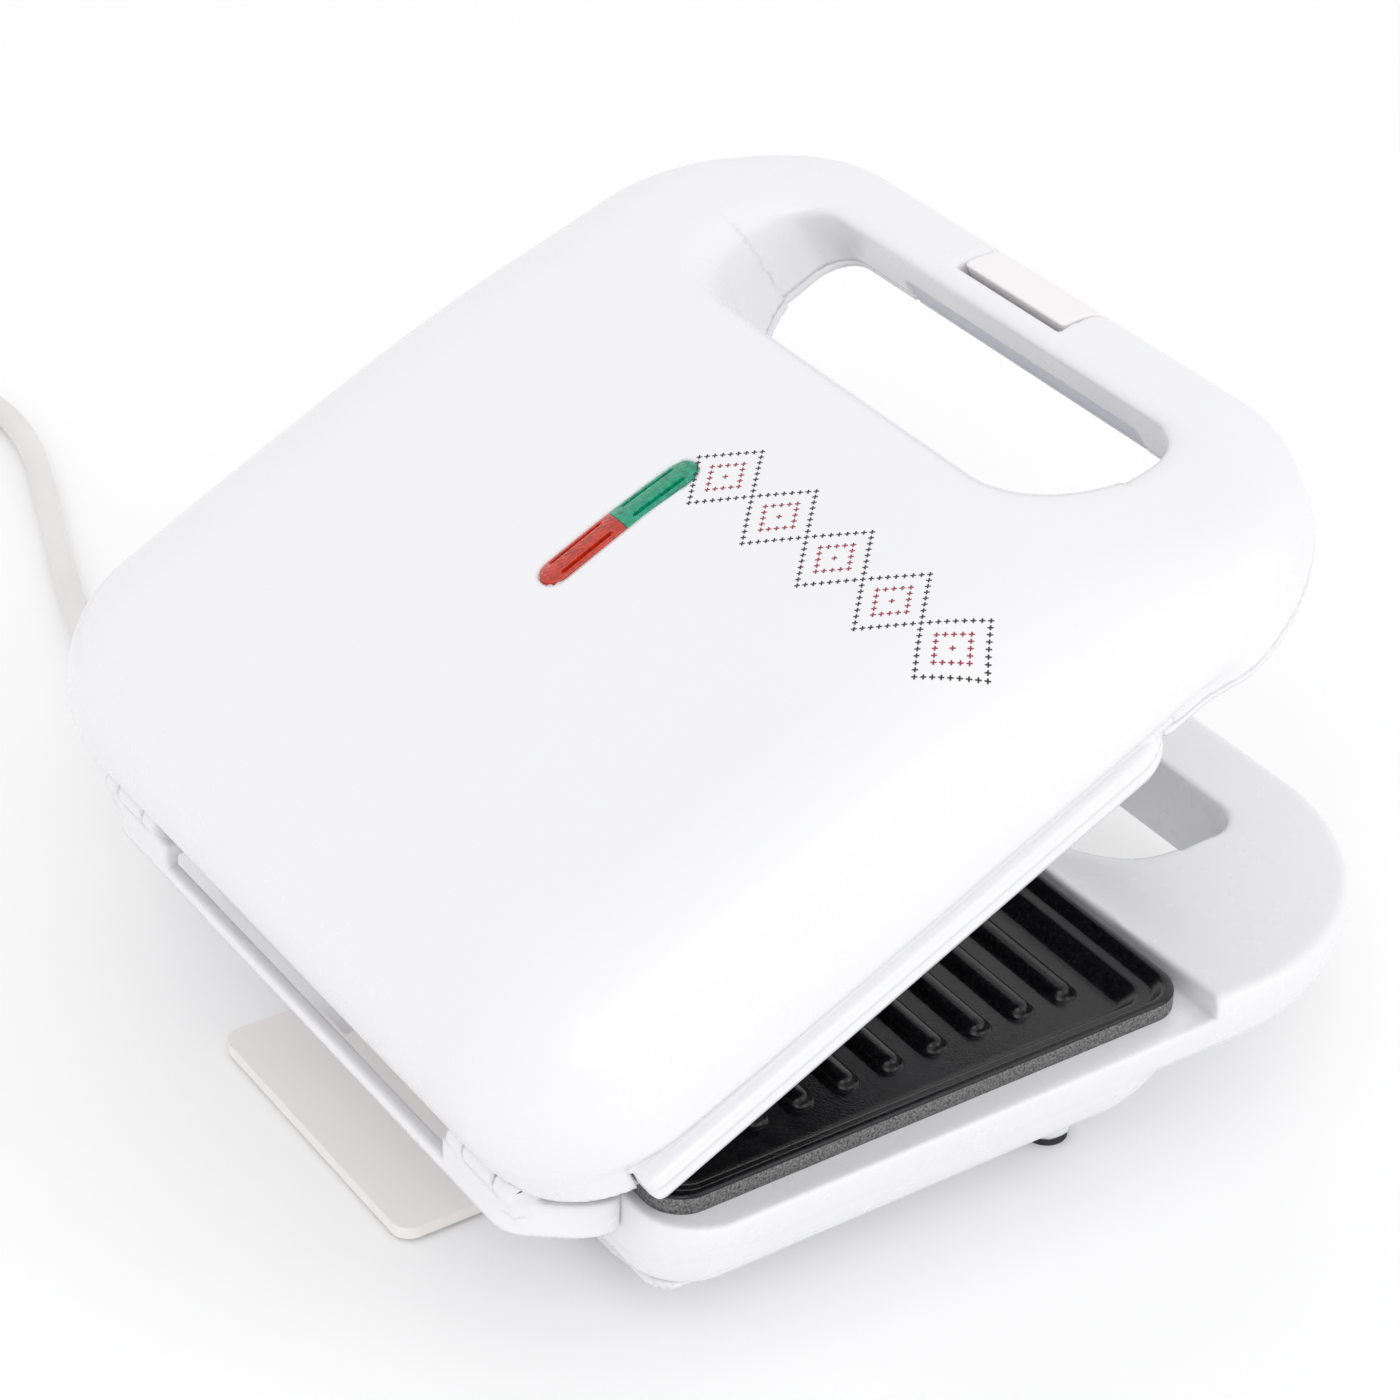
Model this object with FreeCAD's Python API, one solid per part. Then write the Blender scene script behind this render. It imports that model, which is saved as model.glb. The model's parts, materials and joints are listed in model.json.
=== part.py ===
import FreeCAD, Part
import math
import os

# Two-slice contact grill: a hinged white clamshell with ribbed non-stick plates.
# Frame: +Z up, floor at z = 0, the handle points along -Y and the hinge lies at the rear.
# The lid is shaped closed, then turned up about the hinge to the rest angle.

V = FreeCAD.Vector

# ---- driving dimensions, mm --------------------------------------------------
hinge_y = 109.2            # hinge axis, chosen so that the open grill is centred on the origin
hinge_z = 47.9
rest_open = 26.7           # opening of the lid at rest, degrees

base_half = 115.0          # half width of the base at its ledge
base_reach = 229.0         # hinge axis to the front of the base handle
base_rear = 19.7           # hinge axis to the rear wall of the base
base_corner = 58.0
base_rear_corner = 14.0
ledge_z = 45.0             # ledge on which the lower plate sits
handle_top_z = 50.5
handle_bottom_z = 30.0
seam_z = 24.0              # seam between base frame and base cover
bottom_z = 4.0

lid_half = 113.5
lid_reach = 225.5
lid_rear = -2.2
lid_corner = 56.0
lid_rear_corner = 30.0
lid_bottom_z = 55.6        # lower edge of the lid shell and of the flange, on the upper plate's rim
flange_top = 58.0
lid_handle_z = 50.8        # underside of the lid handle
lid_top_z = 92.3
belt_bottom_z = 47.0
belt_half = 112.8
step_reach = 159.4         # rear edge of the base handle block

plate_half = 108.5
plate_front = 156.9
plate_rear = 21.8
plate_corner = 13.0
plate_neck = 2.1           # inset of the plate body behind its rim
rim_z = 50.0
upper_rim_z = 50.6
tray_depth = 7.4
sheet = 2.2                # thickness of the cast plates
rib_count = 9
rib_pitch = 11.7
rib_first = 138.8          # hinge axis to the front rib
rib_half = 86.8            # centre of a rib's round end
rib_radius = 2.6

window_front = 208.7
window_rear = 171.0
window_half = 66.0

knuckle_radius = 3.2
hinge_pin_radius = 1.25
running_gap = 0.06

latch_half = 18.0
latch_pivot = 218.0        # hinge axis to latch pivot
latch_pivot_z = 64.5
latch_pin_radius = 1.25

lens_front = 130.8
lens_rear = 88.8
lens_width = 7.4

foot_front = (82.8, 142.2)  # x and distance of the front feet
foot_rear = (62.0, 58.0)
foot_boss = 5.6
foot_pad = 1.8             # thickness of the rubber below a boss
stand_half = 40.8
stand_screw_x = 15.0
stand_screw_row = 50.0

cord_radius = 3.5
cord_row = 36.0            # hinge axis to the cord outlet
cord_z = 18.0

os.makedirs("parts", exist_ok=True)


# ---- small tools -------------------------------------------------------------
def at(x, back, z):
    """Point given by its distance in front of the hinge axis."""
    return V(x, hinge_y - back, z)


def block(x0, x1, front, rear, z0, z1):
    """Box between two distances in front of the hinge axis."""
    return Part.makeBox(x1 - x0, front - rear, z1 - z0, at(x0, front, z0))


def rod(point, radius, length, axis):
    return Part.makeCylinder(radius, length, point, axis)


def rounded_wire(corners, z):
    """Closed wire through (x, distance in front of hinge, corner radius)."""
    points = [at(x, back, z) for x, back, r in corners]
    count = len(points)
    arcs = []
    for i in range(count):
        here = points[i]
        before = (points[i - 1] - here).normalize()
        after = (points[(i + 1) % count] - here).normalize()
        half = math.acos(max(-1.0, min(1.0, before.dot(after)))) / 2
        radius = corners[i][2]
        start = here + before * (radius / math.tan(half))
        end = here + after * (radius / math.tan(half))
        inward = (before + after).normalize()
        middle = here + inward * (radius / math.sin(half) - radius)
        arcs.append((start, middle, end))
    edges = []
    for i in range(count):
        start, middle, end = arcs[i]
        edges.append(Part.Arc(start, middle, end).toShape())
        edges.append(Part.makeLine(end, arcs[(i + 1) % count][0]))
    return Part.Wire(edges)


def prism(corners, z0, z1):
    face = Part.Face(rounded_wire(corners, z0))
    return face.extrude(V(0, 0, z1 - z0))


def four(half, front, rear, front_radius, rear_radius):
    """Corner list of an outline that is symmetric about the centre plane."""
    return [(-half, front, front_radius), (half, front, front_radius),
            (half, rear, rear_radius), (-half, rear, rear_radius)]


def stack(outline, levels):
    """Solid through the outline inset by a different amount at each level."""
    wires = [rounded_wire(outline(inset), z) for z, inset in levels]
    return Part.makeLoft(wires, True, True)


def profile_prism(points, half):
    """Solid of a side profile given as (distance in front of hinge, z)."""
    wire = Part.makePolygon([at(-half, d, z) for d, z in points + points[:1]])
    return Part.Face(wire).extrude(V(2 * half, 0, 0))


def route_wire(points):
    """Straight runs joined by the largest tangent arcs that the runs allow."""
    edges = []
    radii = []
    start = points[0]
    for before, here, after in zip(points, points[1:], points[2:]):
        run_in = here - before
        run_out = after - here
        turn = run_in.getAngle(run_out)
        shorter = min(run_in.Length, run_out.Length)
        cut = 0.45 * shorter
        radius = cut / math.tan(turn / 2)
        back_way = (before - here).normalize()
        on_way = (after - here).normalize()
        first = here + back_way * cut
        last = here + on_way * cut
        inward = (back_way + on_way).normalize()
        middle = here + inward * (radius / math.cos(turn / 2) - radius)
        edges.append(Part.makeLine(start, first))
        edges.append(Part.Arc(first, middle, last).toShape())
        radii.append(radius)
        start = last
    edges.append(Part.makeLine(start, points[-1]))
    return Part.Wire(edges), radii


def tube(points, radius):
    """Round section swept along a route of runs and arcs."""
    spine, radii = route_wire(points)
    way = points[1] - points[0]
    section = Part.Wire(Part.makeCircle(radius, points[0], way))
    solid = spine.makePipeShell([section], True, False)
    return solid, spine.Length, radii


def fused(shapes):
    whole = shapes[0].multiFuse(shapes[1:]) if len(shapes) > 1 else shapes[0]
    return whole.removeSplitter()


def opened(shape):
    """Turn a shape of the closed lid up to the rest angle."""
    turned = shape.copy()
    turned.rotate(at(0, 0, hinge_z), V(1, 0, 0), -rest_open)
    return turned


def write(name, shape):
    shape.exportStep("parts/" + name + ".step")
    solids = shape.Solids
    print(name, len(solids), "solids", round(sum(s.Volume for s in solids) / 1000, 2), "cm3",
          "valid" if shape.isValid() else "NOT VALID")


def write_lid(name, shape):
    write(name, opened(shape))


# ---- base housing ------------------------------------------------------------
def base_outline(inset):
    return four(base_half - inset, base_reach - inset, base_rear + inset,
                base_corner - inset, max(base_rear_corner - inset, 1.5))


def belly_outline(inset, wall=0.0):
    """Outline of the belly; its rear wall draws in less than the other sides."""
    rear_inset = rear_share * inset
    return four(base_half - inset - wall, belly_front - inset - wall, base_rear + rear_inset + wall,
                max(40.0 - inset - wall, 12.0), max(base_rear_corner - inset - wall, 1.5))


def belly_room(inset):
    return belly_outline(inset, 3.3)


def cover_room(inset):
    return belly_outline(inset, 1.0)


def window_wire(grow, z, flare=0.0):
    return rounded_wire([(-window_half - grow - flare, window_front + grow, 9.0 + grow),
                         (window_half + grow + flare, window_front + grow, 9.0 + grow),
                         (window_half - 5 + grow + flare, window_rear - grow, 26.0 + grow),
                         (-window_half + 5 - grow - flare, window_rear - grow, 26.0 + grow)], z)


def window(grow, z0, z1, flare=0.0):
    return Part.makeLoft([window_wire(grow, z0), window_wire(grow, z1, flare)], True, True)


slab_levels = [(handle_bottom_z, 9.0), (34.0, 4.2), (40.0, 1.0), (ledge_z, 0.0), (49.0, 0.0),
               (handle_top_z, 1.5)]
belly_front = 176.0
rear_share = 0.33
seam_inset = 8.2
belly_levels = [(seam_z, seam_inset), (27.7, 5.8), (34.0, 3.0), (40.0, 1.0), (ledge_z, 0.0)]
cover_levels = [(bottom_z, 50.0), (7.0, 40.0), (14.0, 27.0), (20.0, 17.5), (seam_z, seam_inset)]
cover_inner_levels = [(6.4, 50.0), (9.5, 40.0), (16.6, 27.0), (22.6, 17.5), (seam_z + 0.01, 13.0)]
plate_opening = four(plate_half - plate_neck + 0.3, plate_front - plate_neck + 0.3,
                     plate_rear + plate_neck - 0.3, plate_corner - 2, plate_corner - 2)
screw_rows = (140.0, 45.0)
screw_x = 94.0
handle_screw = (88.0, 182.0)     # x and distance of the handle screws


def base_frame():
    slab = stack(base_outline, slab_levels)
    belly = stack(belly_outline, belly_levels)
    body = fused([slab, belly])
    low_side = block(-130, 130, step_reach, -20, ledge_z, 60)
    hollow_belly = stack(belly_room, [(seam_z - 1, 8.2), (27.7, 5.0), (34.0, 2.2), (38.0, 0.9)])
    hollow_slab = stack(base_outline, [(handle_bottom_z - 1, 12.6), (34.0, 7.2), (40.0, 4.0), (47.5, 3.0)])
    keep_solid = [window(3.0, 20, 60), block(-20, 20, 240, 190, 20, 60),
                  block(-130, 130, 164.0, 0, 20, 60)]
    for shape in keep_solid:
        hollow_slab = hollow_slab.cut(shape)
    body = body.cut(low_side).cut(hollow_belly).cut(hollow_slab)
    body = body.cut(window(0.0, 20, 60)).cut(prism(plate_opening, 30, 60))
    posts = []
    for side in (-1, 1):
        left = min(side * screw_x, side * base_half)
        for row in screw_rows:
            posts.append(rod(at(side * screw_x, row, seam_z), 4.5, 15, V(0, 0, 1)))
            rib = block(left, left + base_half - screw_x, row + 1.5, row - 1.5, seam_z, 37)
            posts.append(rib.common(belly))
        posts.append(rod(at(side * handle_screw[0], handle_screw[1], 32.4), 4.0, 16, V(0, 0, 1)))
    body = fused([body] + posts)
    for side in (-1, 1):
        for row in screw_rows:
            body = body.cut(rod(at(side * screw_x, row, seam_z - 1), 1.7, 12, V(0, 0, 1)))
        body = body.cut(rod(at(side * handle_screw[0], handle_screw[1], 30), 1.7, 14, V(0, 0, 1)))
    pocket = block(-13, 13, 240, 212, 36, 60)
    return body.cut(pocket).cut(latch_keeper())


def handle_cover():
    """Plate that closes the base handle from below."""
    plate = prism(base_outline(13.4), handle_bottom_z, handle_bottom_z + 2.4)
    plate = plate.common(block(-130, 130, 240, 176.2, 20, 60))
    plate = plate.cut(window(3.2, 20, 60)).cut(block(-20.2, 20.2, 240, 190, 20, 60))
    for side in (-1, 1):
        plate = plate.cut(rod(at(side * handle_screw[0], handle_screw[1], 29), 1.7, 5, V(0, 0, 1)))
    return plate


def base_cover():
    solid = stack(belly_outline, cover_levels)
    body = solid.cut(stack(cover_room, cover_inner_levels))
    extras = []
    for side in (-1, 1):
        for row in screw_rows:
            extras.append(rod(at(side * screw_x, row, 12), 5.2, seam_z - 12, V(0, 0, 1)).common(solid))
        for (x, row), top in ((foot_front, 17.5), (foot_rear, 8.6)):
            extras.append(rod(at(side * x, row, foot_pad), foot_boss, top - foot_pad, V(0, 0, 1)))
    extras.append(rod(at(90, cord_row, cord_z), 7.4, 17, V(1, 0, 0)).cut(
        block(80, 120, 60, 20, seam_z, 40)))
    body = fused([body] + extras)
    for side in (-1, 1):
        for row in screw_rows:
            body = body.cut(rod(at(side * screw_x, row, 10), 1.75, 20, V(0, 0, 1)))
            body = body.cut(rod(at(side * screw_x, row, 5), 3.5, 15, V(0, 0, 1)))
        for x, row in (foot_front, foot_rear):
            body = body.cut(rod(at(side * x, row, 0), 2.4, foot_pad + 4.2, V(0, 0, 1)))
        body = body.cut(rod(at(side * stand_screw_x, stand_screw_row, 3), 1.6, 4, V(0, 0, 1)))
    return body.cut(rod(at(80, cord_row, cord_z), 4.5, 40, V(1, 0, 0)))


def hinge_housing():
    """Block behind the plates that carries the hinge knuckles, with a long notch under the lid."""
    outer = [(-96.3, base_rear, 1.0), (96.3, base_rear, 1.0), (96.3, 13.1, 3.0), (84.7, -2.1, 5.0),
             (-84.7, -2.1, 5.0), (-96.3, 13.1, 3.0)]
    inner = [(-93.8, base_rear - 1.2, 1.0), (93.8, base_rear - 1.2, 1.0), (93.8, 13.8, 3.0),
             (83.4, 0.4, 4.0), (-83.4, 0.4, 4.0), (-93.8, 13.8, 3.0)]
    body = prism(outer, 36, ledge_z).cut(prism(inner, 35, ledge_z - 2.2))
    body = body.cut(block(-60.6, 60.6, 4.5, -10, 39.4, 60))
    pieces = [body]
    for side in (-1, 1):
        for x in (67.0, 85.0):
            left = side * x - 3.0
            pieces.append(rod(at(left, 0, hinge_z), knuckle_radius, 6.0, V(1, 0, 0)))
            pieces.append(block(left, left + 6.0, 5.0, -1.4, ledge_z - 1, hinge_z))
    body = fused(pieces)
    for side in (-1, 1):
        body = body.cut(hinge_pin(side))
        body = body.cut(rod(at(side * 76 - 6, 0, hinge_z), knuckle_radius + 0.4, 12, V(1, 0, 0)))
        body = body.cut(rod(at(side * 78, 11, 35), 1.7, 12, V(0, 0, 1)))
    return body


def hinge_pin(side):
    start = min(side * 64.0, side * 88.0)
    return rod(at(start, 0, hinge_z), hinge_pin_radius, 24.0, V(1, 0, 0))


def latch_keeper():
    return block(-15, 15, 219.4, 216.0, 45.4, 47.8)


def rear_stand():
    wide = prism(four(stand_half, 24.0, -0.1, 3.0, 4.5), 1.0, bottom_z)
    neck = prism(four(26.0, 60.0, 20.0, 8.0, 1.0), 1.0, bottom_z)
    body = fused([wide, neck])
    for side in (-1, 1):
        body = body.cut(rod(at(side * stand_screw_x, stand_screw_row, 0), 1.6, 6, V(0, 0, 1)))
        body = body.cut(rod(at(side * stand_screw_x, stand_screw_row, 0), 2.8, 3, V(0, 0, 1)))
    return body


def foot(x, row):
    pad = rod(at(x, row, 0), foot_boss - 0.5, foot_pad, V(0, 0, 1))
    stem = rod(at(x, row, foot_pad), 2.4, 4.0, V(0, 0, 1))
    return fused([pad, stem])


def screw(x, row, z, shank, length, head_radius=3.2):
    """Screw driven upward: head below z, shank above it."""
    head = rod(at(x, row, z - 2.0), head_radius, 2.0, V(0, 0, 1))
    thread = rod(at(x, row, z), shank, length, V(0, 0, 1))
    slot = block(x - 0.4, x + 0.4, row + 2.0, row - 2.0, z - 2.1, z - 1.2)
    cross = block(x - 2.0, x + 2.0, row + 0.4, row - 0.4, z - 2.1, z - 1.2)
    return fused([head, thread]).cut(slot).cut(cross)


# ---- cooking plates ----------------------------------------------------------
def plate_outline(inset):
    return four(plate_half - inset, plate_front - inset, plate_rear + inset,
                plate_corner - min(inset, plate_corner - 2), plate_corner - min(inset, plate_corner - 2))


def grill_plate():
    """Lower plate: rim, sloped tray and nine round-ended ribs along X."""
    rim = prism(plate_outline(0), ledge_z, rim_z)
    neck = prism(plate_outline(plate_neck), rim_z - tray_depth - sheet, ledge_z)
    floor_z = rim_z - tray_depth
    tray = stack(plate_outline, [(rim_z + 0.01, 1.8), (rim_z - 2.6, 3.6), (rim_z - 2.8, 6.4),
                                 (floor_z, 9.6)])
    body = fused([rim, neck]).cut(tray)
    under = prism(plate_outline(plate_neck + 2.2), rim_z - tray_depth - sheet - 1, ledge_z - 5.0)
    body = body.cut(under.common(block(-130, 130, 200, 0, 30, rim_z - tray_depth - sheet)))
    ribs = []
    for i in range(rib_count):
        row = rib_first - i * rib_pitch
        bar = rod(at(-rib_half, row, floor_z), rib_radius, 2 * rib_half, V(1, 0, 0))
        ends = [Part.makeSphere(rib_radius, at(side * rib_half, row, floor_z)) for side in (-1, 1)]
        ribs += [bar] + ends
    floor_only = block(-130, 130, 200, 0, floor_z - 1.0, 60)
    ribs = [rib.common(floor_only) for rib in ribs]
    posts = [rod(at(x, row, 31.3), 3.6, floor_z - 1 - 31.3, V(0, 0, 1)) for x, row in plate_screw_places]
    body = fused([body] + ribs + posts)
    for x, row in plate_screw_places:
        body = body.cut(rod(at(x, row, 30), 1.6, 8.5, V(0, 0, 1)))
    return body


plate_screw_places = [(x, row) for x in (-70.0, 70.0) for row in (133.0, 45.0)]
mirror_z = (rim_z + upper_rim_z) / 2


def upper(shape):
    """Mirror a lower part into the lid about the plane between the two rims."""
    return shape.mirror(V(0, 0, mirror_z), V(0, 0, 1))


def heating_element():
    """Sheathed element bent to a U under the plate, with two terminal pins."""
    centre_z = rim_z - tray_depth - sheet - 3.4
    near, far = 118.0, 60.0
    mid = (near + far) / 2
    bend = (near - far) / 2
    end_x = 48.0
    first = Part.makeLine(at(-88, near, centre_z), at(end_x, near, centre_z))
    arc = Part.Arc(at(end_x, near, centre_z), at(end_x + bend, mid, centre_z),
                   at(end_x, far, centre_z)).toShape()
    last = Part.makeLine(at(end_x, far, centre_z), at(-88, far, centre_z))
    spine = Part.Wire([first, arc, last])
    section = Part.Wire(Part.makeCircle(3.2, at(-88, near, centre_z), V(1, 0, 0)))
    body = spine.makePipeShell([section], True, False)
    pins = [rod(at(-96, row, centre_z), 1.5, 9.0, V(1, 0, 0)) for row in (near, far)]
    return fused([body] + pins)


def reflector():
    """Folded steel tray below the element."""
    outline = four(84.0, 143.0, 36.0, 6.0, 6.0)
    inner = four(83.2, 142.2, 36.8, 5.2, 5.2)
    body = prism(outline, 30.5, 35.5).cut(prism(inner, 31.3, 40))
    body = body.cut(block(-90, -80, 124, 112, 31.3, 40)).cut(block(-90, -80, 66, 54, 31.3, 40))
    for x, row in plate_screw_places:
        body = body.cut(rod(at(x, row, 30), 1.7, 3, V(0, 0, 1)))
    return body


def plate_screws():
    return Part.makeCompound([screw(x, row, 30.5, 1.6, 7.5) for x, row in plate_screw_places])


# ---- electrical parts --------------------------------------------------------
def thermostat():
    """Disc thermostat with two blades, held under the reflector."""
    body = rod(at(-20, 88, 20.5), 8.0, 10.0, V(0, 0, 1))
    blades = [block(-20 + s * 5 - 0.4, -20 + s * 5 + 0.4, 91, 85, 14, 21) for s in (-1, 1)]
    return fused([body] + blades)


def thermal_fuse():
    body = rod(at(18, 100, 28.2), 2.1, 14.0, V(1, 0, 0))
    leads = [rod(at(8, 100, 28.2), 0.6, 34.0, V(1, 0, 0))]
    return fused([body] + leads)


def terminal_block():
    body = block(40, 72, 76, 60, 9.8, 19)
    for x in (46, 56, 66):
        body = body.cut(rod(at(x, 80, 13.5), 2.0, 40, V(0, 1, 0)))
        body = body.cut(rod(at(x, 68, 15), 1.8, 10, V(0, 0, 1)))
    return body


def base_wiring():
    """Insulated leads from the terminal block to the thermostat and the element."""
    routes = [[at(46, 76, 13.5), at(46, 90, 13.5), at(20, 96, 12), at(-15, 96, 12), at(-15, 88, 12.6)],
              [at(56, 76, 13.5), at(56, 102, 13.5), at(10, 112, 16), at(-60, 112, 20),
               at(-91, 118, 24), at(-91, 118, 32)]]
    return Part.makeCompound([tube(points, 1.2)[0] for points in routes])


# ---- lid ---------------------------------------------------------------------
def lid_outline(inset):
    return four(lid_half - inset, lid_reach - min(inset, 10 + inset * 0.35), lid_rear + inset,
                lid_corner - min(inset, 30), max(lid_rear_corner - inset * 0.5, 6.0))


lid_levels = [(49.0, 1.4), (54.0, 0.8), (60.0, 0.0), (66.0, 0.6), (74.0, 3.4), (81.0, 8.5),
              (86.5, 15.5), (90.3, 26.0), (lid_top_z, 46.0)]
lid_inner_levels = [(48.0, 3.9), (60.0, 2.6), (66.0, 3.2), (73.0, 6.2), (79.0, 11.2), (84.2, 18.3),
                    (87.8, 29.0), (lid_top_z - 2.5, 48.0)]
lid_profile = [(-20.0, 20.0), (-20.0, 100.0), (118.0, 100.0), (140.0, 91.0), (160.0, 86.0),
               (178.0, 80.0), (196.0, 74.0), (210.0, 70.2), (217.0, 68.8), (222.0, 66.0),
               (225.0, 62.0), (240.0, 50.0), (240.0, 20.0)]


def lid_solid():
    return stack(lid_outline, lid_levels).common(profile_prism(lid_profile, 130.0))


def lid_hollow():
    lowered = [(d, z - 2.5 if z > 55 else z) for d, z in lid_profile]
    inner = stack(lid_outline, lid_inner_levels).common(profile_prism(lowered, 130.0))
    return inner.cut(window(2.5, 40, 100, 10.0))


def latch_recess(grow=0.0):
    return block(-latch_half - 0.4 - grow, latch_half + 0.4 + grow, 240, 212.5 - grow, 40, 80)


def lens_outline(grow=0.0):
    half = lens_width / 2 + grow
    return [(-half, lens_front + grow, half - 0.01), (half, lens_front + grow, half - 0.01),
            (half, lens_rear - grow, half - 0.01), (-half, lens_rear - grow, half - 0.01)]


def lid_shell():
    solid = lid_solid()
    body = solid.cut(lid_hollow())
    body = body.cut(window(0.0, 40, 100, 10.0))
    body = body.cut(block(-130, 130, 160.6, 8.0, 40, lid_bottom_z))
    body = body.cut(block(-130, 130, 240, 160.6, 40, lid_handle_z + 2.4))
    walls = latch_recess(2.4).common(solid).common(block(-40, 40, 240, 200, lid_handle_z + 2.4, 80))
    walls = walls.cut(window(0.0, 40, 100, 10.0))
    body = fused([body, walls]).cut(latch_recess())
    posts = []
    for side in (-1, 1):
        posts.append(rod(at(side * 90, 12, flange_top), 4.2, 34, V(0, 0, 1)).common(solid))
        posts.append(rod(at(side * 88, 176, lid_handle_z + 5.2), 4.0, 24, V(0, 0, 1)).common(solid))
    body = fused([body] + posts)
    for side in (-1, 1):
        body = body.cut(rod(at(side * 90, 12, 50), 1.7, 18, V(0, 0, 1)))
        body = body.cut(rod(at(side * 88, 176, 50), 1.7, 16, V(0, 0, 1)))
        relief = min(side * 63.4, side * 88.6)
        body = body.cut(rod(at(relief, 0, hinge_z), knuckle_radius + 0.5, 25.2, V(1, 0, 0)))
    body = body.cut(latch_pin())
    return body.cut(prism(lens_outline(), 80, 100))


def lid_frame():
    """Inner frame: belt around the plate, flange, handle underside and the hinge knuckles."""
    front = 160.6
    belt = prism(four(belt_half, front, 8.5, 14.0, 10.0), belt_bottom_z, lid_bottom_z)
    belt = belt.cut(prism(four(plate_half + 0.9, 158.0, 17.0, 12.0, 10.0), 40, 60))
    belt = belt.cut(block(-98, 98, 30, 0, 40, lid_bottom_z - 3.4))
    belt = belt.cut(block(-130, 130, 170, 150, 40, 50.8))
    flange = prism(four(109.6, 167.0, 2.0, 14.0, 32.0), lid_bottom_z, flange_top)
    handle = prism(lid_outline(1.2), lid_handle_z, lid_handle_z + 2.4).common(
        block(-130, 130, 240, 158.2, 40, 60))
    web = prism(four(109.6, 167.0, 2.0, 14.0, 32.0), lid_handle_z, flange_top).common(
        block(-130, 130, 168.0, 158.2, 40, 60))
    pads = [rod(at(side * 88, 176, lid_handle_z), 5.6, 5.2, V(0, 0, 1)) for side in (-1, 1)]
    knuckles = []
    for side in (-1, 1):
        left = side * 76.0 - 5.7
        knuckles.append(rod(at(left, 0, hinge_z), knuckle_radius, 11.4, V(1, 0, 0)))
        knuckles.append(block(left, left + 11.4, 5.6, 1.9, hinge_z, flange_top))
    body = fused([belt, flange, handle, web] + pads + knuckles)
    body = body.cut(prism(four(plate_half - plate_neck + 0.3, plate_front - plate_neck + 0.3,
                               plate_rear + plate_neck - 0.3, 11.0, 11.0), 40, 60))
    body = body.cut(window(0.0, 40, 100, 10.0)).cut(latch_recess())
    for side in (-1, 1):
        bore = side * 76.0 - 8
        body = body.cut(rod(at(bore, 0, hinge_z), hinge_pin_radius + running_gap, 16, V(1, 0, 0)))
        for x in (67.0, 85.0):
            gap = side * x - 3.4
            body = body.cut(rod(at(gap, 0, hinge_z), knuckle_radius + 0.4, 6.8, V(1, 0, 0)))
        body = body.cut(rod(at(side * 90, 12, 50), 1.75, 10, V(0, 0, 1)))
        body = body.cut(rod(at(side * 90, 12, 45), 3.4, lid_bottom_z - 45, V(0, 0, 1)))
        body = body.cut(rod(at(side * 88, 176, 50), 1.75, 8, V(0, 0, 1)))
        body = body.cut(rod(at(side * 88, 176, 50), 3.4, 3.6, V(0, 0, 1)))
    return body


def lens(front, rear):
    body = prism(lens_outline(), lid_top_z - 4.0, lid_top_z + 0.4)
    return body.common(block(-10, 10, front, rear, 80, 100))


def lamp(row):
    """Neon lamp with two short leads, lying under its lens."""
    glass = rod(at(0, row + 5, 84.3), 2.3, 10.0, V(0, 1, 0))
    leads = [rod(at(s * 1.2, row + 9, 84.3), 0.35, 4.2, V(0, 1, 0)) for s in (-1, 1)]
    return fused([glass] + leads)


def lamp_holder():
    """Bracket that clips both neon lamps under the lens slot."""
    tray = block(-7, 7, 134, 86, 80.0, 81.4)
    cheeks = [block(s * 6.3 - 0.7, s * 6.3 + 0.7, 134, 86, 80.0, lid_top_z - 2.5) for s in (-1, 1)]
    return fused([tray] + cheeks)


def lid_wiring():
    """Leads from the lamps and the upper element back to the hinge."""
    routes = [[at(12, 110, 82), at(12, 70, 82), at(22, 40, 80), at(30, 16, 72), at(30, 8, 62)],
              [at(-91, 118, 70), at(-91, 118, 78), at(-80, 90, 80), at(-30, 50, 80),
               at(24, 22, 72), at(26, 9, 62)]]
    return Part.makeCompound([tube(points, 1.2)[0] for points in routes])


def lid_screws():
    group = [screw(side * 90, 12, lid_bottom_z, 1.7, 12) for side in (-1, 1)]
    group += [screw(side * 88, 176, 53.6, 1.7, 12) for side in (-1, 1)]
    return Part.makeCompound(group)


# ---- latch -------------------------------------------------------------------
def latch_pin():
    return rod(at(-20.4, latch_pivot, latch_pivot_z), latch_pin_radius, 40.8, V(1, 0, 0))


def latch():
    """Rounded tile in the middle of the lid handle with a hook that reaches the base handle."""
    tile = lid_solid().common(block(-latch_half, latch_half, 240, 214.6, lid_handle_z + 1.0, 80))
    core = tile.cut(block(-16, 16, 222.6, 210, 50, 60))
    arm = block(-9, 9, 224.0, 221.0, 41.2, 54)
    nose = block(-9, 9, 224.0, 215.6, 41.2, 44.6)
    body = fused([core, arm, nose])
    body = body.cut(rod(at(-30, latch_pivot, latch_pivot_z), latch_pin_radius + running_gap, 60, V(1, 0, 0)))
    spring_room = block(-8, 8, latch_pivot + 3.4, 210, latch_pivot_z - 3.4, latch_pivot_z + 2.6)
    return body.cut(spring_room)


def latch_spring():
    """Torsion spring around the latch pin, drawn as its close-wound body."""
    outer = rod(at(-6, latch_pivot, latch_pivot_z), 2.2, 12, V(1, 0, 0))
    return outer.cut(rod(at(-7, latch_pivot, latch_pivot_z), 1.4, 14, V(1, 0, 0)))


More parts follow.
